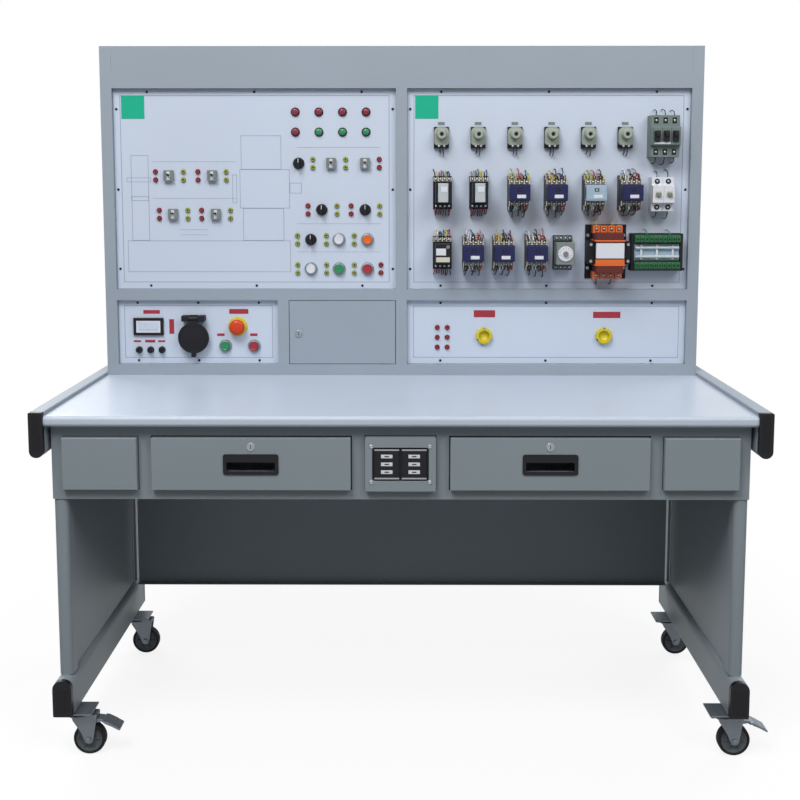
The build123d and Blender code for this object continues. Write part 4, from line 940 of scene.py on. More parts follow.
class BENCH_OT_casters(Maker, bpy.types.Operator):
    """Build the four swivel casters with their wheels and the two brake pedals"""

    bl_idname = "bench.casters"
    bl_label = "Casters"

    def make(self, context):
        for place in ("front_left", "front_right", "rear_left", "rear_right"):
            low, high = box(f"caster_wheel_{place}")
            hub = middle((low, high))
            self.fork(place, hub, box(f"caster_fork_{place}")[1].z)
            self.wheel(place, hub)
        for hand in ("left", "right"):
            hub = middle(box(f"caster_wheel_front_{hand}"))
            self.pedal(hand, hub)

    def fork(self, place, hub, top):
        """A pressed fork: crown, race cover, two shaped cheeks, axle bolt and nut."""
        x, y, z = hub
        pin = x - 25.0
        form = Form(f"fork_{place}")
        form.turned(
            [(5, 0), (14, 0), (22.5, -1.2), (24, -3.2), (24, -6), (5, -6)], (pin, y), "z",
            ZINC, 36, ring=True, base=top,
        )
        outline = rounded((x - 28, x + 20), (y - 15.8, y + 15.8), 5, 5)
        form.prism(outline, "z", top - 5.6, top - 2.6, ZINC, 0.8)
        bend = [
            (x - 38, top - 0.5), (x + 18, top - 0.5), (x + 20, top - 4), (x + 13, z + 14),
            (x + 10.5, z), (x + 7.5, z - 7.5), (x, z - 10.5), (x - 7.5, z - 7.5), (x - 10.5, z),
            (x - 15, z + 14), (x - 37, top - 14), (x - 39, top - 5),
        ]
        for side in (-1, 1):
            near, far = span(y, side, 13.5, 16.0)
            form.prism(bend, "y", near, far, ZINC, 0.7)
            form.turned(
                [(0, side * 16), (7.6, side * 16), (7.6, side * 16.9), (0, side * 16.9)],
                (x, z), "y", ZINC, 20, base=y,
            )
            form.turned(
                [(0, side * 16.9), (6.4, side * 16.9), (6.4, side * 19.4), (5.4, side * 20),
                 (0, side * 20)], (x, z), "y", ZINC, 6, base=y,
            )
        form.turned(
            [(0, -13.5), (3.9, -13.5), (3.9, 13.5), (0, 13.5)], (x, z), "y", ZINC, 20,
            base=y,
        )
        if place.startswith("front"):
            form.turned(
                [(0, -16.6), (3, -16.6), (3, 16.6), (0, 16.6)], (x + 12, z + 46), "y",
                ZINC, 16, base=y,
            )
        form.piece(f"fork_{place}", [f"caster_fork_{place}"])

    def wheel(self, place, hub):
        x, y, z = hub
        form = Form(f"wheel_{place}")
        tyre = [(30, -10.5), (32.5, -12.5), (35.6, -11.6), (37.3, -8), (37.5, 0)]
        tyre += [(radius, -h) for radius, h in reversed(tyre[:-1])]
        form.turned(tyre, (x, z), "y", "black_rubber", 56, ring=True, base=y)
        web = [
            (4.1, -12.4), (8.6, -12.4), (9.4, -11.4), (11.5, -7), (24, -7.4), (27.5, -9.8),
            (30.2, -10.4),
        ]
        web += [(radius, -h) for radius, h in reversed(web)]
        form.turned(web, (x, z), "y", "wheel_hub", 40, ring=True, base=y)
        for side in (-1, 1):
            near, far = span(y, side, 7.0, 9.6)
            for spoke in range(6):
                outline = ray(x, z, math.radians(60 * spoke), 10.5, 25.0, 1.1)
                form.prism(outline, "y", near, far, "wheel_hub", 0.4, 1)
        form.piece(f"wheel_{place}", [f"caster_wheel_{place}"])

    def pedal(self, hand, hub):
        """A pressed brake pedal: hub, arms, shoe and a ribbed tread plate."""
        x, y, z = hub.x + 12, hub.y, hub.z + 46
        form = Form(f"pedal_{hand}")
        form.turned(
            [(3.1, -13.2), (5, -13.2), (5, 13.2), (3.1, 13.2)], (x, z), "y", ZINC, 24,
            ring=True, base=y,
        )
        arm = [
            (x - 3, z + 4.6), (x + 10, z + 4.2), (x + 22, z + 3), (x + 29, z - 5.5),
            (x + 24, z - 6.8), (x + 18, z - 2), (x + 4, z - 4.4), (x + 3, z - 8.8),
            (x - 3, z - 8.8),
        ]
        for side in (-1, 1):
            near, far = span(y, side, 6.5, 13.0)
            form.prism(arm, "y", near, far, ZINC, 0.6)
        form.prism(arm, "y", y - 6.5, y + 6.5, ZINC)
        tread = [
            (x + 22, z + 2.4), (x + 30, z + 0.6), (x + 46, z - 7.6), (x + 62, z - 16.6),
            (x + 63, z - 19), (x + 62, z - 21.4), (x + 59, z - 20), (x + 44, z - 11.8),
            (x + 29, z - 4.2), (x + 24, z - 3),
        ]
        form.prism(tread, "y", y - 20, y + 20, ZINC, 1.2)
        form.piece(f"pedal_{hand}", [f"brake_pedal_{hand}"], angle=38)
        rib = Form("rib")
        rib.prism([(-1.4, 0), (1.4, -0.75), (1.1, 0.35), (-0.6, 0.9)], "y", y - 17, y + 17, ZINC)
        row(f"pedal_ribs_{hand}", rib, 5, (x + 34, 0, z - 1.2), (5.4, 0, -2.95), f"pedal_{hand}")


class BENCH_OT_cabinet(Maker, bpy.types.Operator):
    """Finish the cabinet's shell and back, with louvre hoods, screws and the gland"""

    bl_idname = "bench.cabinet"
    bl_label = "Cabinet"

    def make(self, context):
        sizes = context.scene.bench_sizes
        dress("cabinet_shell", CABINET)
        dress("cabinet_back", CABINET, lambda c: BLACK if c.y > BACK_FACE + 0.6 else None)
        pitch = sizes.louvre_pitch / MM
        for number, x in enumerate((-400.0, 400.0)):
            slat = Form("slat")
            hood = ((0.0, -3.4), (1.4, -3.2), (4.6, 1.6), (4.6, 2.6), (0.0, 4.0))
            outline = [(BACK_FACE + out, up) for out, up in hood]
            slat.prism(outline, "x", -47, 47, CABINET, 0.4)
            lowest = LOUVRE_LEVEL - pitch * (sizes.louvres - 1) / 2
            row(
                f"louvre_hoods_{number + 1}", slat, sizes.louvres, (x, 0, lowest), (0, 0, pitch),
            )
        back = Form("screw")
        back.turned(
            [(4.5, 0), (4.5, 1.4), (3.2, 2.4), (0, 2.5)], (0, 0), "y", STEEL, 14, base=BACK_FACE,
        )
        edge, foot, head = 785, 824, 1676
        places = [(x, 0, z) for x in (-edge, -390, 0, 390, edge) for z in (foot, head)]
        places += [(x, 0, z) for x in (-edge, edge) for z in (1110, 1395)]
        repeat("back_screws", back, places, turn=1.0)


def panel_strips(form, box_mm, width, name="print_line", thick=0.25, face=PANEL_FACE):
    """The four sides of a rectangle, as thin strips on a face."""
    x, z = box_mm
    y = (face - thick, face + 0.05)
    form.block((x[0], x[1]), y, (z[0], z[0] + width), name)
    form.block((x[0], x[1]), y, (z[1] - width, z[1]), name)
    form.block((x[0], x[0] + width), y, (z[0], z[1]), name)
    form.block((x[1] - width, x[1]), y, (z[0], z[1]), name)


class BENCH_OT_panels(Maker, bpy.types.Operator):
    """Finish the four panels: ground, printed lines, bare label plates and screws"""

    bl_idname = "bench.panels"
    bl_label = "Panels"

    red_labels = (
        (POWER_PANEL, (
            (-150, -105, 49, 59), (-80, -67, -6, 34), (84, 136, 49, 62), (50, 70, -12, -5),
            (140, 160, -12, -5), (-178, -158, -29, -24), (-147, -119, -30, -23),
            (-112, -92, -29, -24),
        )),
        (OUTPUT_PANEL, ((-196, -138, 40, 59), (128, 202, 38, 55))),
    )

    def make(self, context):
        sizes = context.scene.bench_sizes
        width = sizes.line / MM
        lines = Form("printed_lines")
        for node, inset in zip(FRONT_PANELS, (17, 17, 15, 16)):
            dress(node, "panel_paint")
            low, high = box(node)
            sides = (low.x + inset, high.x - inset), (low.z + inset, high.z - inset)
            panel_strips(lines, sides, width)
        self.machine_outline(lines, width)
        lines.piece()
        self.plates()
        self.screws(screw_head(sizes.screw / MM, 2.0, name=BLACK))

    def plates(self):
        """The green squares, the red labels and a small plate over each screw fuse."""
        form = Form("label_plates")
        square, label = (SQUARE_FACE, PANEL_FACE), (LABEL_FACE, PANEL_FACE)
        for cx, cz in (LEFT_PANEL, RIGHT_PANEL):
            x, z = cx - HALF_PANEL[0] + 52, cz + HALF_PANEL[1] - 48
            form.block((x - 31, x + 31), square, (z - 31, z + 31), "emblem_print", 0.1, 1)
        for (x, z), labels in self.red_labels:
            for x0, x1, z0, z1 in labels:
                form.block((x + x0, x + x1), label, (z + z0, z + z1), RED, 0.2, 1)
        for low, high in solids("protection_devices"):
            if high.x - low.x < 45 and high.z - low.z > 50:
                x = (low.x + high.x) / 2
                form.block((x - 9, x + 9), square, (high.z + 5, high.z + 13), GREY, 0.1, 1)
        form.piece()

    def screws(self, head):
        """Screws along each panel's upper and lower edges, and up the sides of tall ones."""
        places = []
        for node in FRONT_PANELS:
            low, high, x, z = seat(box(node))
            wide, tall = high.x - low.x, high.z - low.z
            for i in (-0.38, 0.0, 0.38):
                levels = (low.z + 8, high.z - 8)
                places += [(x + i * wide, PANEL_FACE, level) for level in levels]
            if tall > 300:
                for edge in (low.x + 8, high.x - 8):
                    places += [(edge, PANEL_FACE, z + i * tall) for i in (-0.4, 0.0, 0.4)]
        repeat("panel_screw_heads", head, places, turn=1.5)

    def machine_outline(self, form, width):
        """A plain outline of a machine tool and the fields around the switches."""
        cx, cz = LEFT_PANEL
        for x0, x1, z0, z1 in (
            (-347, 93, -222, -137), (-334, -287, -137, 92), (-38, 70, 54, 144), (-42, 92, -50, 54),
            (-34, 76, -137, -50), (-346, -281, 20, 32), (-334, -287, -30, -18),
            (-62, -50, -36, 40), (92, 124, -10, 18),
        ):
            panel_strips(form, ((cx + x0, cx + x1), (cz + z0, cz + z1)), width * 0.8)
        y = (183.75, 184.05)
        for x0, x1, z in (
            (-276, -52, 74), (-276, -52, -24), (-204, -130, -108), (-204, -130, -122),
            (110, 336, -92), (110, 336, -168), (112, 336, 112),
        ):
            form.block((cx + x0, cx + x1), y, (cz + z, cz + z + width * 0.6), "print_line")


class BENCH_OT_small_fittings(Maker, bpy.types.Operator):
    """Set the test jacks and the pilot lamps"""

    bl_idname = "bench.small_fittings"
    bl_label = "Jacks and Lamps"

    red_leads = (
        (-268, 37), (-154, 37), (-260, -66), (-146, -66), (333, 70), (141, -54), (257, -54),
        (337, -213),
    )

    def make(self, context):
        red, lime = [], []
        for low, high in solids("test_jacks"):
            at = middle((low, high))
            rel = (at.x - LEFT_PANEL[0], at.z - LEFT_PANEL[1])
            near = any(abs(rel[0] - x) < 5 and abs(rel[1] - z) < 16 for x, z in self.red_leads)
            (red if near or at.z < 1000 else lime).append((at.x, PANEL_FACE, at.z))
        for name, places, tint in (("red", red, "jack_plastic"), ("lime", lime, "lime_plastic")):
            head = Form("jack")
            head.turned(
                [(2.9, 0), (7, 0), (7, -1.6), (6.2, -2.2), (5.8, -5.2), (5, -6), (2.9, -6)],
                (0, 0), "y", tint, 18, ring=True,
            )
            solid = ["test_jacks"] if name == "red" else ()
            repeat(f"test_jacks_{name}", head, places, stands_for=solid)
        tube = Form("tube")
        tube.turned(
            [(2.4, 0), (2.95, 0), (2.95, -5.4), (2.4, -5.4)], (0, 0), "y", "jack_brass", 14,
            ring=True,
        )
        repeat("jack_contacts", tube, red + lime)
        # A black plug inside each contact tube is painted shade for the depth of the jack's hole.
        bore = Form("bore")
        bore.turned([(2.45, -0.1), (2.45, -2.4), (0.0, -2.4)], (0, 0), "y", BLACK, 12)
        repeat("jack_bores", bore, red + lime)
        lamps = {"red": [], "green": []}
        for low, high in solids("pilot_lamps"):
            at = middle((low, high))
            right = at.x - LEFT_PANEL[0] > 130 and at.z - LEFT_PANEL[1] < 180
            lamps["green" if right else "red"].append((at.x, PANEL_FACE, at.z))
        ring = Form("ring")
        ring.turned(
            [(8.8, 0), (12, 0), (12, -1.8), (11.2, -2.8), (9, -3)], (0, 0), "y", BLACK, 28,
            ring=True,
        )
        repeat("lamp_rings", ring, lamps["red"] + lamps["green"], stands_for=["pilot_lamps"])
        for name, tint, slot in (("red", "lens_red", RED), ("green", "green_plastic", None)):
            lens = Form("lens")
            lens.turned(
                [(9.2, 0), (9.2, -4.2), (8.7, -6.4), (7.2, -8), (4.4, -8.8), (0, -9)],
                (0, 0), "y", tint, 28,
            )
            repeat(f"lamp_lenses_{name}", lens, lamps[name])


class BENCH_OT_switches(Maker, bpy.types.Operator):
    """Build the push buttons, selectors, toggle switches and the emergency stop"""

    bl_idname = "bench.switches"
    bl_label = "Switches"

    caps = (WHITE, ORANGE, WHITE, "green_plastic", RED)

    def make(self, context):
        y = PANEL_FACE
        buttons = [(f"push_button_{i + 1}", tint) for i, tint in enumerate(self.caps)]
        buttons += [("start_button", "green_plastic"), ("stop_button", RED)]
        rings = []
        for node, tint in buttons:
            low, high, x, z = seat(box(node))
            deep = high.y - low.y
            rings.append((x, y, z))
            cap = Form(f"{node}_cap")
            cap.turned(
                [(0, deep), (12.4, deep), (12.4, 1.6), (11.6, 0.6), (9.6, 0.1), (8.4, 0.9),
                 (0, 1.1)], (x, z), "y", tint, 32, base=low.y,
            )
            cap.piece(node, [node])
        ring = Form("ring")
        ring.turned(
            [(12.8, 0), (17.5, 0), (17.5, -3), (16.4, -6), (14.6, -8.6), (13.4, -9),
             (12.8, -8.2)], (0, 0), "y", STEEL, 36, ring=True,
        )
        repeat("button_rings", ring, rings, stands_for=["switch_collars"])
        self.stop(y)
        collars = []
        for number in range(1, 5):
            node = f"selector_knob_{number}"
            low, high, x, z = seat(box(node))
            collars.append((x, y, z))
            knob = Form(f"{node}_grip")
            knob.turned(
                [(0, 0), (12.4, 0), (12.4, -2.6), (11.2, -4), (0, -4)], (x, z), "y", BLACK, 32,
                base=high.y,
            )
            grip = rounded((x - 3, x + 3), (z - 13.4, z + 13.4), 2, 2)
            knob.prism(grip, "y", low.y, high.y - 3.6, BLACK, 0.8)
            knob.block((x - 0.9, x + 0.9), (low.y - 0.25, low.y + 1), (z + 2, z + 12), WHITE)
            knob.piece(node, [node])
        base = Form("base")
        base.turned(
            [(0, 0), (15.5, 0), (15.5, -3.4), (14.2, -6.4), (13.2, -7), (0, -7)], (0, 0), "y",
            BLACK, 36,
        )
        repeat("selector_bases", base, collars)
        frames = Form("toggle_bodies")
        slots = Form("slots")
        for number in range(1, 7):
            node = f"toggle_switch_{number}"
            high, x = seat(box(node))[1:3]
            z = self.toggle_level(high.z)
            bezel = rounded((x - 15, x + 15), (z - 16.5, z + 16.5), 2, 2)
            frames.prism(bezel, "y", y - 3.2, y, WHITE, 0.6)
            body = rounded((x - 13, x + 13), (z - 14.5, z + 14.5), 2, 2)
            frames.prism(body, "y", y - 11, y - 3, GREY, 1.2)
            slots.block((x - 4, x + 4), (y - 12, y - 1.2), (z - 11.5, z + 11.5), BLACK)
            self.lever(node, x, z, y)
        frames.piece(cuts=slots)

    def toggle_level(self, top):
        """The height of the switch whose lever ends at this height."""
        levels = [LEFT_PANEL[1] + z for z in (37, -66, 70)]
        return min(levels, key=lambda level: abs(level + 4 - top) if top > level else 999)

    def lever(self, node, x, z, y):
        """A bat lever on its cross pin, tilted up at rest."""
        pivot = y - 6.0
        tilt = math.radians(12)
        form = Form(f"{node}_lever")
        form.turned(
            [(0, -3.9), (3.4, -3.9), (3.4, 3.9), (0, 3.9)], (pivot, z), "x", BLACK, 20,
            base=x,
        )

        def at(out, up):
            return (
                pivot - out * math.cos(tilt) + up * math.sin(tilt),
                z + out * math.sin(tilt) + up * math.cos(tilt),
            )

        edge = [(0, 1.6), (9, 1.5), (15, 1.95), (17.6, 1.5), (18, 0)]
        edge += [(out, -up) for out, up in reversed(edge[:-1])]
        form.prism([at(*point) for point in edge], "x", x - 3.4, x + 3.4, BLACK, 0.5)
        form.piece(node, [node])

    def stop(self, y):
        """The mushroom head of the emergency stop over its yellow ring."""
        low, high, x, z = seat(box("estop_button"))
        ring = Form("stop_ring")
        ring.turned(
            [(12.8, 0), (26, 0), (26, -4), (24.8, -6.2), (16.5, -8.4), (15.5, -9), (12.8, -9)],
            (x, z), "y", YELLOW, 44, ring=True, base=y,
        )
        ring.piece()
        head = Form("stop_mushroom")
        deep = high.y - low.y
        head.turned(
            [(0, deep), (12.3, deep), (12.3, 14.5), (20.4, 14.6), (21, 13.2), (21, 8.6),
             (20.2, 5.4), (17.6, 2.4), (13, 0.7), (7, 0.1), (0, 0)],
            (x, z), "y", "stop_plastic", 44, base=low.y,
        )
        head.piece("estop_button", ["estop_button"], angle=60)


class BENCH_OT_power_devices(Maker, bpy.types.Operator):
    """Build the panel meter, the industrial socket with its lid and the round connectors"""

    bl_idname = "bench.power_devices"
    bl_label = "Meter and Sockets"

    def make(self, context):
        self.meter()
        self.socket()
        self.connectors()

    def meter(self):
        low, high = box("panel_meter")
        x, z = (low.x, high.x), (low.z, high.z)
        y = PANEL_FACE
        case = Form("meter_frame")
        case.block(x, (y - 7, y), z, BLACK, 1.5)
        case.block((x[0] + 4, x[1] - 4), (y, y + 60), (z[0] + 4, z[1] - 4), BLACK, 1.0)
        window = Form("opening")
        pane = (x[0] + 8, x[1] - 8), (z[0] + 7.5, z[1] - 7.5)
        window.block(pane[0], (y - 9, y - 5), pane[1], BLACK)
        case.piece(stands_for=["panel_meter"], cuts=window)
        glass = Form("meter_window")
        glass.block(pane[0], (y - 6.4, y - 5), pane[1], WHITE, 0.2, 1)
        scale = (x[0] + 13, x[1] - 13), (z[0] + 12, z[1] - 12)
        glass.block(scale[0], (y - 6.6, y - 6.3), scale[1], "panel_paint")
        mid = (x[0] + x[1]) / 2
        foot = z[0] + 14
        for tick in range(11):
            at = mid + (tick - 5) * 4.4
            tall = 4.2 if tick % 5 == 0 else 2.4
            glass.block((at - 0.3, at + 0.3), (y - 6.8, y - 6.5), (foot, foot + tall), BLACK)
        glass.piece()

    def socket(self):
        low, high, x, _ = seat(box("socket_lid"))
        y = PANEL_FACE
        z = low.z + 49.0
        hinge_z, hinge_y = high.z - 6.0, low.y + 6.0
        shell = Form("socket_shell")
        shell.turned(
            [(0, 18), (29, 18), (29, -15.9), (35.4, -15.9), (36.8, -14.6), (37.9, 0), (33, 0),
             (33, 22), (0, 22)], (x, z), "y", BLACK, 48, base=y,
        )
        for contact in range(4):
            angle = math.radians(90 * contact + 90)
            at = (x + 16 * math.cos(angle), z + 16 * math.sin(angle))
            shell.turned(
                [(0, 18), (2.9, 18), (2.9, -1.4), (2, -2.4), (0, -2.4)], at, "y", "jack_brass",
                14, base=y,
            )
        shell.block((x - 31.5, x + 31.5), (y - 5, y), (hinge_z - 8, hinge_z + 8), BLACK, 1.2)
        for side in (-1, 1):
            ear = span(x, side, 12.4, 31.5)
            shell.block(ear, (hinge_y - 6, y), (hinge_z - 8, hinge_z + 8), BLACK, 1.6)
        shell.turned(
            [(0, -12.4), (2, -12.4), (2, 12.4), (0, 12.4)], (hinge_y, hinge_z), "x",
            STEEL, 16, base=x,
        )
        shell.piece(stands_for=["panel_sockets"])
        lid = Form("socket_cover")
        face, deep = low.y + 3.0, 6.0
        back = face + deep
        lid.turned(
            [(0, deep), (41.4, deep), (42, deep - 1), (42, 2), (40.4, 0.6), (37, 0.5), (36, 1.6),
             (24, 1.2), (0, 0.4)], (x, z), "y", BLACK, 48, base=face,
        )
        root = rounded((x - 12, x + 12), (z + 30, hinge_z - 4.5))
        lid.prism(root, "y", face + 0.6, back, BLACK, 0.8)
        lip = rounded((x - 6.5, x + 6.5), (z - 52, z - 38), 3, 0)
        lid.prism(lip, "y", face + 0.2, back, BLACK, 0.7)
        lid.turned(
            [(2.1, -12), (6, -12), (6, 12), (2.1, 12)], (hinge_y, hinge_z), "x", BLACK,
            24, ring=True, base=x,
        )
        lid.piece("socket_lid", ["socket_lid"])

    def connectors(self):
        y = PANEL_FACE
        form = Form("round_connectors")
        keys = Form("keys")
        for corners in solids("output_connectors"):
            x, z = middle(corners).x, middle(corners).z
            form.turned(
                [(0, 0), (22, 0), (22, -9.4), (20.6, -11.6), (19.4, -12), (15, -12), (14, -11),
                 (14, -3), (0, -3)], (x, z), "y", YELLOW, 44, base=y,
            )
            form.turned(
                [(0, -2.9), (10, -2.9), (10, -8.6), (9.2, -9), (0, -9)], (x, z), "y",
                BLACK, 32, base=y,
            )
            for pin in range(3):
                angle = math.radians(90 + 120 * pin)
                form.turned(
                    [(0, -8.9), (1.7, -8.9), (1.7, -9.6), (0, -9.6)],
                    (x + 5.4 * math.cos(angle), z + 5.4 * math.sin(angle)), "y", "jack_brass",
                    12, base=y,
                )
                cx, cz = x + 22 * math.cos(angle), z + 22 * math.sin(angle)
                keys.turned(
                    [(0, -14), (4.2, -14), (4.2, 0.5), (0, 0.5)], (cx, cz), "y", BLACK,
                    4, start=angle + math.pi / 4, base=y,
                )
        form.piece(stands_for=["output_connectors"], cuts=keys)


class Wiring:
    """Collects the short stiff wires between the devices' terminals and the panel."""

    def __init__(self):
        self.paths = {}
        self.dice = random.Random(11)

    def add(self, x, y, z, out, name, spread=3.0):
        """A wire that leaves a terminal, bends over and goes into the panel."""
        lean = self.dice.uniform(-spread, spread)
        far = self.dice.uniform(15.0, 22.0)
        rise = self.dice.uniform(4.0, 9.0)
        self.paths.setdefault(name, []).append([
            (x, y, z), (x + lean * 0.3, y - rise * 0.4, z + out * far * 0.45),
            (x + lean * 0.8, y + (PANEL_FACE - y) * 0.35, z + out * far * 0.95),
            (x + lean, PANEL_FACE + 0.5, z + out * far),
        ])

    def lay(self):
        for name, paths in self.paths.items():
            wires(f"wires_{name.split('_')[0]}", paths, name)


WIRING = Wiring()
WIRE_SETS = (
    (YELLOW, "lime_plastic", RED, BLACK),
    (BLACK, WHITE, BLACK, RED),
    (RED, YELLOW, BLACK, "navy_plastic"),
)
TERMINALS = []


def terminal_row(form, x, z, y, half, count, up, name=CREAM):
    """A row of terminals: fins, between them black patches painted as the shade in the terminals'
    hollows, and places for their screws.
    """
    pitch = 2 * half / count
    low, high = sorted((z, z + up * 11))
    form.block((x - half, x + half), (y, y + 12), (low, high), name, 0.6, 1)
    for i in range(count):
        at = x - half + pitch * (i + 0.5)
        pocket_shade = (at - pitch * 0.32, at + pitch * 0.32)
        # The black patch is painted shade for the hollow of the terminal.
        form.block(pocket_shade, (y - 0.3, y + 0.6), (low + 1.6, high - 1.6), BLACK)
        TERMINALS.append((at, y - 0.2, (low + high) / 2))
    fin = sorted((z - up * 0.5, z + up * 12))
    for i in range(count + 1):
        at = x - half + pitch * i
        form.block((at - 0.9, at + 0.9), (y - 3.2, y + 6), fin, name, 0.3, 1)


class BENCH_OT_contactors(Maker, bpy.types.Operator):
    """Build the six contactors and the motor starter with their terminals"""

    bl_idname = "bench.contactors"
    bl_label = "Contactors"

    def make(self, context):
        form = Form("contactor_set")
        for number, corners in enumerate(solids("contactors")):
            at = middle(corners)
            pale = abs(at.x - RIGHT_PANEL[0] - 118) < 12
            self.one(form, at.x, at.z, pale, number)
        form.piece(stands_for=["contactors"])

    def one(self, form, x, z, pale, number):
        y = PANEL_FACE
        front = "sky_plastic" if pale else "navy_plastic"
        form.bars((x, y, z), (
            (-27, 27, -30, 0, -46, 46, BLACK, 0.8),
            (-26, 26, -34, -29, -45, 45, CREAM, 0.8),
            (-27, 27, -56, -33, -35, 35, BLACK, 1.0),
            (-27, 27, -83, -50, -21, 21, front, 1.8),
            (-23, 23, -84, -82, -17, 17, front, 0.8),
            (-6, 6, -84.4, -83, 3, 12, BLACK, 0.5, 1),
            (-3, 3, -84.8, -84, 5, 10, front, 0.4, 1),
            (-8, 15, -84.7, -83, -14, -5, WHITE, 0.3, 1),
        ))
        for side in (-1, 1):
            ear = span(x, side, 22.5, 27.3)
            form.block(ear, (y - 72, y - 60), (z - 14, z + 14), BLACK, 0.6, 1)
        for up in (-1, 1):
            terminal_row(form, x, z + up * 22.5, y - 58, 26, 4, up)
            terminal_row(form, x, z + up * 34.5, y - 37, 26, 3, up)
            colours = WIRE_SETS[(number + (up > 0)) % 3]
            for i in range(4):
                for lean in (-2.4, 2.4):
                    tint = colours[(i + (lean > 0)) % 4] if up > 0 else WIRE_SETS[1][i]
                    WIRING.add(x - 19.5 + 13 * i + lean, y - 57, z + up * 30, up, tint, 7)
            for i in range(3):
                tint = colours[(i + 1) % 4] if up > 0 else BLACK
                WIRING.add(x - 17.3 + 17.3 * i, y - 36, z + up * 43, up, tint, 7)


class BENCH_OT_relays(Maker, bpy.types.Operator):
    """Build the plug-in relays, the thermal relay and the timer"""

    bl_idname = "bench.relays"
    bl_label = "Relays and Timer"

    def make(self, context):
        y = PANEL_FACE
        form = Form("relay_set")
        for number, corners in enumerate(solids("relays")):
            at = middle(corners)
            x, z = at.x, at.z
            if x - RIGHT_PANEL[0] > 0:
                self.timer(form, x, z, y)
                continue
            form.block((x - 25, x + 25), (y - 24, y), (z - 44, z + 44), BLACK, 1.0)
            for up in (-1, 1):
                terminal_row(form, x, z + up * 30, y - 25, 23, 4, up, CREAM if up > 0 else BLACK)
                for i in range(8):
                    above = WIRE_SETS[(number + i) % 3][i % 4]
                    tint = above if up > 0 else ("jack_plastic", BLACK)[i % 2]
                    WIRING.add(x - 20 + 5.7 * i, y - 25, z + up * 40, up, tint, 5)
            if z < RIGHT_PANEL[1] - 100:
                form.bars((x, y, z), (
                    (-20, 20, -80, -24, -26, 26, BLACK, 1.5),
                    (-18, 8, -80.6, -78, -4, 14, WHITE, 0.5),
                    (-18, 18, -80.6, -78, -22, -9, CREAM, 0.5),
                ))
                form.turned(
                    [(0, -78), (5, -78), (4.6, -82), (0, -82)], (x + 13, z + 18), "y",
                    GREY, 20, base=y,
                )
            else:
                for side in (-1, 1):
                    cheek = span(x, side, 13, 20)
                    form.block(cheek, (y - 78, y - 24), (z - 26, z + 26), BLACK, 1.2)
                form.bars((x, y, z), (
                    (-13.5, 13.5, -80, -26, -25, 25, "clear_cover", 1.6),
                    (-9, 9, -70, -27, -20, -2, ORANGE, 1.0),
                    (-6, 11, -80.8, -79, 2, 16, WHITE, 0.3, 1),
                ))
        form.piece(stands_for=["relays"])

    def timer(self, form, x, z, y):
        form.bars((x, y, z), (
            (-25, 25, -24, 0, -46, 46, BLACK, 1.0),
            (-24, 24, -76, -24, -29, 29, GREY, 1.6),
        ))
        form.turned(
            [(0, -76), (20, -76), (20, -78), (19, -79), (0, -79)], (x, z), "y", WHITE,
            40, base=y,
        )
        form.turned(
            [(0, -79), (7, -79), (6.4, -85.4), (5.8, -86), (0, -86)], (x, z), "y",
            GREY, 28, base=y,
        )
        form.block((x - 0.7, x + 0.7), (y - 86.2, y - 85), (z, z + 6), RED)
        for tick in range(10):
            outline = ray(x, z, math.radians(-40 + 26 * tick), 14.0, 17.6, 0.4)
            form.prism(outline, "y", y - 79.3, y - 78.9, BLACK)
        for up in (-1, 1):
            terminal_row(form, x, z + up * 33, y - 25, 23, 4, up, GREY)


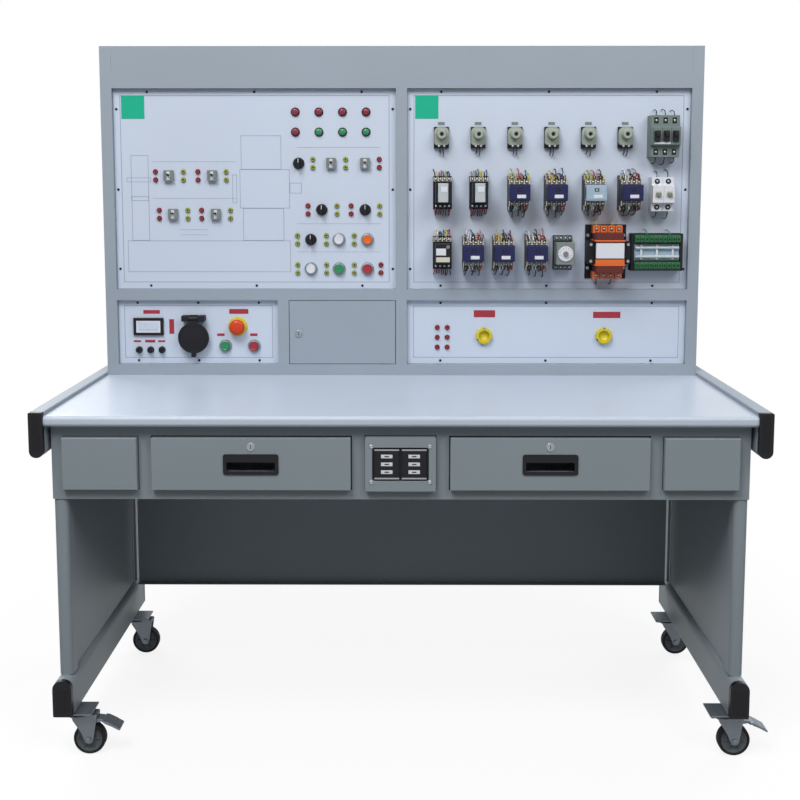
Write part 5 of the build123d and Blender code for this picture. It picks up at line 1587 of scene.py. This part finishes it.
class BENCH_OT_protection(Maker, bpy.types.Operator):
    """Build the screw fuses, the motor breaker and the rail breaker"""

    bl_idname = "bench.protection"
    bl_label = "Fuses and Breakers"

    def make(self, context):
        y = PANEL_FACE
        fuses = Form("fuse_set")
        breakers = Form("breaker_set")
        for low, high in solids("protection_devices"):
            x, z = (low.x + high.x) / 2, (low.z + high.z) / 2
            wide, tall = high.x - low.x, high.z - low.z
            if tall < 30:
                fuses.turned(
                    [(0, 0), (9.5, 0), (9.5, -3), (8.2, -5), (7.6, -12), (6.4, -14), (3.2, -14),
                     (2.8, -12.6), (0, -12.4)], (x, z), "y", BLACK, 24, base=y,
                )
            elif wide < 45:
                self.fuse(fuses, x, z, y)
            elif wide > 65:
                self.motor_breaker(breakers, x, z, y)
            else:
                self.rail_breaker(breakers, x, z, y)
        fuses.piece(stands_for=["protection_devices"])
        breakers.piece()

    def fuse(self, form, x, z, y):
        """A ceramic base with a screw cap, a sight glass and terminal covers."""
        form.block((x - 20, x + 20), (y - 9, y), (z - 28.5, z + 28.5), BLACK, 1.2)
        base = rounded((x - 19, x + 19), (z - 20, z + 27), 7, 12)
        form.prism(base, "y", y - 22, y - 8, "fuse_cap", 1.6)
        form.turned(
            [(0, -20), (15, -20), (15, -24), (14, -26), (13.2, -38), (11.4, -41.4), (8.4, -42),
             (5.6, -41.4), (5.2, -38), (0, -37.6)], (x, z + 8), "y", "fuse_cap", 32, base=y,
        )
        form.turned(
            [(0, -37.5), (4.8, -37.5), (4.8, -38.6), (0, -38.8)], (x, z + 8), "y",
            BLACK, 20, base=y,
        )
        form.block((x - 12, x + 12), (y - 20, y - 8), (z - 27, z - 19), BLACK, 0.8)
        for side in (-1, 1):
            TERMINALS.append((x + side * 7, y - 20.2, z - 23))
            tint = "navy_plastic" if side < 0 else BLACK
            WIRING.add(x + side * 4, y - 14, z - 27, -1, tint, 2)

    def stepped(self, y, z, deep, tall, nose, low, high):
        """A breaker's side view: a flat body whose middle stands further out."""
        half = [(y, tall), (y - deep, tall), (y - deep, high), (y - nose, low)]
        return [(out, z - up) for out, up in half] + [(out, z + up) for out, up in reversed(half)]

    def motor_breaker(self, form, x, z, y):
        profile = self.stepped(y, z, 45.5, 55, 60, 23, 25)
        form.prism(profile, "x", x - 38, x + 38, "breaker_plastic", 1.4)
        for pole in (-1, 0, 1):
            at = x + pole * 24
            form.bars((at, y, z), (
                (-8, 8, -66, -58, -14, 14, BLACK, 1.4),
                (-5, 5, -73.6, -64, -1, 10, BLACK, 1.6),
                (-11.4, -10.6, -60.4, -59, -22, 22, BLACK),
            ))
            for up in (-1, 1):
                # A black patch over each terminal is painted shade for the terminal's opening.
                opening = span(z, up, 33, 49)
                form.block((at - 6, at + 6), (y - 46, y - 44), opening, BLACK, 0.8)
                TERMINALS.append((at, y - 46, z + up * 41))
                WIRING.add(at, y - 40, z + up * 52, up, BLACK, 2)
        form.block((x - 30, x + 12), (y - 60.6, y - 59), (z - 21, z - 16), WHITE, 0.3, 1)

    def rail_breaker(self, form, x, z, y):
        profile = self.stepped(y, z, 44, 45, 61.5, 22.5, 24)
        for side in (-1, 1):
            a, b = span(x, side, 0.3, 29)
            form.prism(profile, "x", a, b, WHITE, 1.1)
            mid = (a + b) / 2
            form.bars((mid, y, z), (
                (-6, 6, -69.6, -60, -5, 5, GREY, 1.4),
                (-9, 9, -62, -60, -9, 9, CREAM, 0.5),
            ))
            for up in (-1, 1):
                # A black disc round each terminal screw is painted shade for the terminal's
                # opening.
                form.turned(
                    [(0, -43.6), (7, -43.6), (7, -44.8), (0, -44.8)], (mid, z + up * 34), "y",
                    BLACK, 20, base=y,
                )
                TERMINALS.append((mid, y - 44.8, z + up * 34))
                WIRING.add(mid, y - 36, z + up * 44, up, BLACK, 2)


class BENCH_OT_power_modules(Maker, bpy.types.Operator):
    """Build the control transformer and the open carrier module"""

    bl_idname = "bench.power_modules"
    bl_label = "Transformer and Carrier"

    def make(self, context):
        level = RIGHT_PANEL[1] - 166
        self.transformer(RIGHT_PANEL[0] + 157, level, PANEL_FACE)
        self.carrier(RIGHT_PANEL[0] + 289, level, PANEL_FACE)

    def transformer(self, x, z, y):
        """A laminated core, its coil between two flanges and two rows of terminals."""
        form = Form("control_transformer")
        form.bars((x, y, z), (
            (-55, 55, -4, 0, -73, 73, "core_steel", 0.5, 1),
            (-56, 56, -64, -4, -30, 30, "core_steel", 1.0),
            (-36, 36, -77, -5, -53, 53, "bobbin_plastic", 2.4),
        ))
        for up in (-1, 1):
            edge = span(z, up, 30, 34)
            form.block((x - 40, x + 40), (y - 78, y - 6), edge, ORANGE, 1.0)
        form.bars((x, y, z), (
            (-37, 37, -78, -70, -14, 26, WHITE, 0.8),
            (-38, 38, -77.6, -60, -30, -17, ORANGE, 1.0),
        ))
        for up in (-1, 1):
            for i in range(4):
                at = x - 30 + 20 * i
                # A black patch in each orange terminal case is painted shade for the terminal's
                # opening.
                case, mouth_shade = span(z, up, 50, 71), span(z, up, 57, 66)
                form.block((at - 9.4, at + 9.4), (y - 36, y - 8), case, ORANGE, 1.4)
                form.block((at - 4, at + 4), (y - 36.5, y - 34), mouth_shade, BLACK, 0.4, 1)
                TERMINALS.append((at, y - 36.4, z + up * 61.5))
                if i % 2 == 0:
                    WIRING.add(at, y - 30, z + up * 66, up, BLACK if up < 0 else YELLOW, 5)
        for side in (-1, 1):
            for up in (-1, 1):
                form.turned(
                    [(0, -4), (4.6, -4), (4.6, -7), (0, -7)], (x + side * 48, z + up * 44), "y",
                    STEEL, 6, base=y,
                )
                form.turned(
                    [(0, -64), (4.2, -64), (4.2, -67), (0, -67)], (x + side * 49, z + up * 22),
                    "y", STEEL, 6, base=y,
                )
        form.piece(stands_for=["power_modules"])

    def carrier(self, x, z, y):
        """An open carrier: two clear rods over a plate, between two terminal bars."""
        module = Form("carrier_module")
        module.block((x - 69, x + 69), (y - 29, y), (z - 50, z + 50), BLACK, 1.2)
        for side in (-1, 1):
            end = span(x, side, 61, 69)
            module.block(end, (y - 36, y - 20), (z - 50, z + 50), BLACK, 1.2)
        module.block((x - 60, x + 60), (y - 31, y - 28), (z - 22, z + 22), "sky_plastic", 0.6)
        for rise in (-12, 12):
            module.turned(
                [(0, -58), (4.2, -58), (4.2, 58), (0, 58)], (y - 35.6, z + rise), "x",
                "clear_cover", 16, base=x,
            )
        for i in range(3):
            at = x - 42 + 42 * i
            module.block((at - 2.4, at + 2.4), (y - 37, y - 30), (z - 19, z + 19), WHITE, 0.6)
        for up in (-1, 1):
            bar, step = span(z, up, 26, 46), span(z, up, 28, 42)
            module.block((x - 61, x + 61), (y - 42, y - 28), bar, "bar_plastic", 1.0)
            for i in range(10):
                at = x - 54 + 12 * i
                module.block((at - 5.2, at + 5.2), (y - 49.6, y - 40), step, "bar_plastic", 1.0)
                module.turned(
                    [(0, -49.4), (3.2, -49.4), (3.2, -50), (0, -50)], (at, z + up * 35), "y",
                    BLACK, 14, base=y,
                )
                if i in (2, 7) and up > 0:
                    WIRING.add(at, y - 44, z + 42, 1, "green_plastic", 3)
        module.piece()


class BENCH_OT_wiring(Maker, bpy.types.Operator):
    """Lay the wires between the terminals and the panel, and drive in the terminal screws"""

    bl_idname = "bench.wiring"
    bl_label = "Wires and Terminal Screws"

    def make(self, context):
        WIRING.lay()
        radius = context.scene.bench_sizes.terminal / MM
        repeat("terminal_screws", screw_head(radius, 1.6, cross=False), TERMINALS, turn=3.0)


class BENCH_OT_fault_compartment(Maker, bpy.types.Operator):
    """Finish the fault compartment: tub, switch board, door and lock"""

    bl_idname = "bench.fault_compartment"
    bl_label = "Fault Compartment"

    def make(self, context):
        dress("fault_tub", CABINET)
        low, high = box("fault_board")
        dress("fault_board", "panel_paint", lambda c: BLACK if c.y < high.y - 3.2 else None)
        dress("fault_door", CABINET)
        low, high, x, _ = seat(box("door_lock"))
        z = low.z + 10.0
        lock = Form("fault_lock")
        face = DOOR_FACE
        lock.turned(
            [(0, 17.4), (7.7, 17.4), (7.7, 0), (10, 0), (10, -1.1), (9.2, -1.7), (6.9, -1.7),
             (6.6, -0.9), (0, -0.9)], (x, z), "y", STEEL, 36, base=face,
        )
        # The black strip is painted shade for the keyway's slot.
        lock.block((x - 0.8, x + 0.8), (face - 1.2, face - 0.8), (z - 4.4, z + 4.4), BLACK)
        lock.block((x - 4, x + 4), (high.y - 1.6, high.y), (z - 4, high.z), STEEL, 0.3)
        lock.piece("door_lock", ["door_lock"])


class BENCH_OT_stage(Maker, bpy.types.Operator):
    """Set the floor, the light and the camera"""

    bl_idname = "bench.stage"
    bl_label = "Stage"

    def make(self, context):
        self.floor()
        self.world(context.scene)
        self.lamp("key", (-1.2, -2.6, 4.4), 150.0)
        self.lamp("fill", (2.0, -2.6, 3.6), 62.0)
        self.lamp("back_left", (-2.8, 3.2, 2.8), 80.0)
        self.lamp("back_right", (3.2, 2.6, 2.4), 60.0)
        self.camera(context.scene)

    def floor(self):
        form = Form("floor")
        form.block((-9000, 9000), (-9000, 9000), (-20, 0), CABINET)
        made = form.object()
        paper = bpy.data.materials.new("pale_floor")
        paper.use_nodes = True
        tree = paper.node_tree
        shader = tree.nodes["Principled BSDF"]
        shader.inputs["Roughness"].default_value = 0.9
        glow = new_node(tree, "ShaderNodeEmission")
        glow.inputs["Color"].default_value = (1.0, 1.0, 1.0, 1.0)
        both = new_node(tree, "ShaderNodeMixShader")
        ground = new_node(tree, "ShaderNodeMapRange")
        give(ground, {"To Min": 0.2, "To Max": 1.0})
        place = new_node(tree, "ShaderNodeTexCoord")
        away = new_node(tree, "ShaderNodeVectorMath", operation="LENGTH")
        fade = new_node(tree, "ShaderNodeMapRange", interpolation_type="SMOOTHSTEP")
        give(fade, {"From Min": 0.9, "From Max": 2.0, "To Min": 0.85, "To Max": 1.0})
        part = new_node(tree, "ShaderNodeMath", operation="MULTIPLY")
        seen = self.seen(tree)
        out = tree.nodes["Material Output"]
        join(tree, (
            (place, "Object", away, 0), (away, "Value", fade, "Value"),
            (fade, "Result", part, 0),
        ))
        tree.links.new(seen, part.inputs[1])
        tree.links.new(seen, ground.inputs["Value"])
        join(tree, (
            (ground, "Result", shader, "Base Color"), (part, "Value", both, "Fac"),
            (shader, "BSDF", both, 1), (glow, "Emission", both, 2),
            (both, "Shader", out, "Surface"),
        ))
        made.data.materials.clear()
        made.data.materials.append(paper)

    def seen(self, tree):
        """One for rays from the camera and for reflected and refracted ones, else zero."""
        path = new_node(tree, "ShaderNodeLightPath")
        first = new_node(tree, "ShaderNodeMath", operation="MAXIMUM")
        second = new_node(tree, "ShaderNodeMath", operation="MAXIMUM")
        join(tree, (
            (path, "Is Camera Ray", first, 0), (path, "Is Glossy Ray", first, 1),
            (first, "Value", second, 0), (path, "Is Transmission Ray", second, 1),
        ))
        return second.outputs["Value"]

    def world(self, scene):
        world = bpy.data.worlds.new("studio")
        world.use_nodes = True
        scene.world = world
        tree = world.node_tree
        light = tree.nodes["Background"]
        give(light, {"Color": (0.97, 0.985, 1.0, 1.0), "Strength": 0.18})
        white = new_node(tree, "ShaderNodeBackground")
        white.inputs["Color"].default_value = (1.0, 1.0, 1.0, 1.0)
        both = new_node(tree, "ShaderNodeMixShader")
        out = tree.nodes["World Output"]
        tree.links.new(self.seen(tree), both.inputs["Fac"])
        join(tree, (
            (light, "Background", both, 1), (white, "Background", both, 2),
            (both, "Shader", out, "Surface"),
        ))

    def lamp(self, name, place, power):
        """A round soft light that looks at the middle of the bench."""
        data = bpy.data.lights.new(name, "AREA")
        data.shape = "DISK"
        data.size = 2.4
        data.energy = power
        made = bpy.data.objects.new(name, data)
        bpy.context.scene.collection.objects.link(made)
        made.location = place
        aim = Vector((0.0, 0.0, 0.9)) - Vector(place)
        made.rotation_euler = aim.to_track_quat("-Z", "Y").to_euler()

    def camera(self, scene):
        data = bpy.data.cameras.new("camera")
        sensor, frame_pixels, focal_pixels, rise_pixels = 36.0, 800.0, 1095.0, -100.0
        data.sensor_width = sensor
        data.lens = focal_pixels / frame_pixels * sensor
        data.shift_y = rise_pixels / frame_pixels
        made = bpy.data.objects.new("camera", data)
        scene.collection.objects.link(made)
        made.location = (0.012, -2.773, 1.323)
        made.rotation_euler = (math.radians(90.0 - 5.96), 0.0, math.radians(0.31))
        scene.camera = made
        scene.view_settings.view_transform = "Standard"


class BENCH_PT_looks(bpy.types.Panel):
    """Lists the bench's pieces, colours and sizes"""

    bl_label = "Training Bench"
    bl_space_type = "VIEW_3D"
    bl_region_type = "UI"
    bl_category = "Bench"

    def draw(self, context):
        for maker in MAKERS:
            self.layout.operator(maker.bl_idname)
        for group in (context.scene.bench_colours, context.scene.bench_sizes):
            column = self.layout.column()
            for name in group.__annotations__:
                column.prop(group, name)


MAKERS = (
    BENCH_OT_desk, BENCH_OT_side_frames, BENCH_OT_rails, BENCH_OT_drawers, BENCH_OT_outlets,
    BENCH_OT_casters, BENCH_OT_cabinet, BENCH_OT_panels, BENCH_OT_small_fittings,
    BENCH_OT_switches, BENCH_OT_power_devices, BENCH_OT_contactors, BENCH_OT_relays,
    BENCH_OT_protection, BENCH_OT_power_modules, BENCH_OT_wiring, BENCH_OT_fault_compartment,
    BENCH_OT_stage,
)
CLASSES = (BenchColours, BenchSizes) + MAKERS + (BENCH_PT_looks,)


def register():
    for item in CLASSES:
        bpy.utils.register_class(item)
    bpy.types.Scene.bench_colours = bpy.props.PointerProperty(type=BenchColours)
    bpy.types.Scene.bench_sizes = bpy.props.PointerProperty(type=BenchSizes)


def unregister():
    del bpy.types.Scene.bench_sizes
    del bpy.types.Scene.bench_colours
    for item in reversed(CLASSES):
        bpy.utils.unregister_class(item)


def main():
    for thing in list(bpy.data.objects):
        if thing.name in ("Cube", "Light", "Camera"):
            bpy.data.objects.remove(thing)
    register()
    for maker in MAKERS:
        group, name = maker.bl_idname.split(".")
        getattr(getattr(bpy.ops, group), name)()


if __name__ == "__main__":
    main()
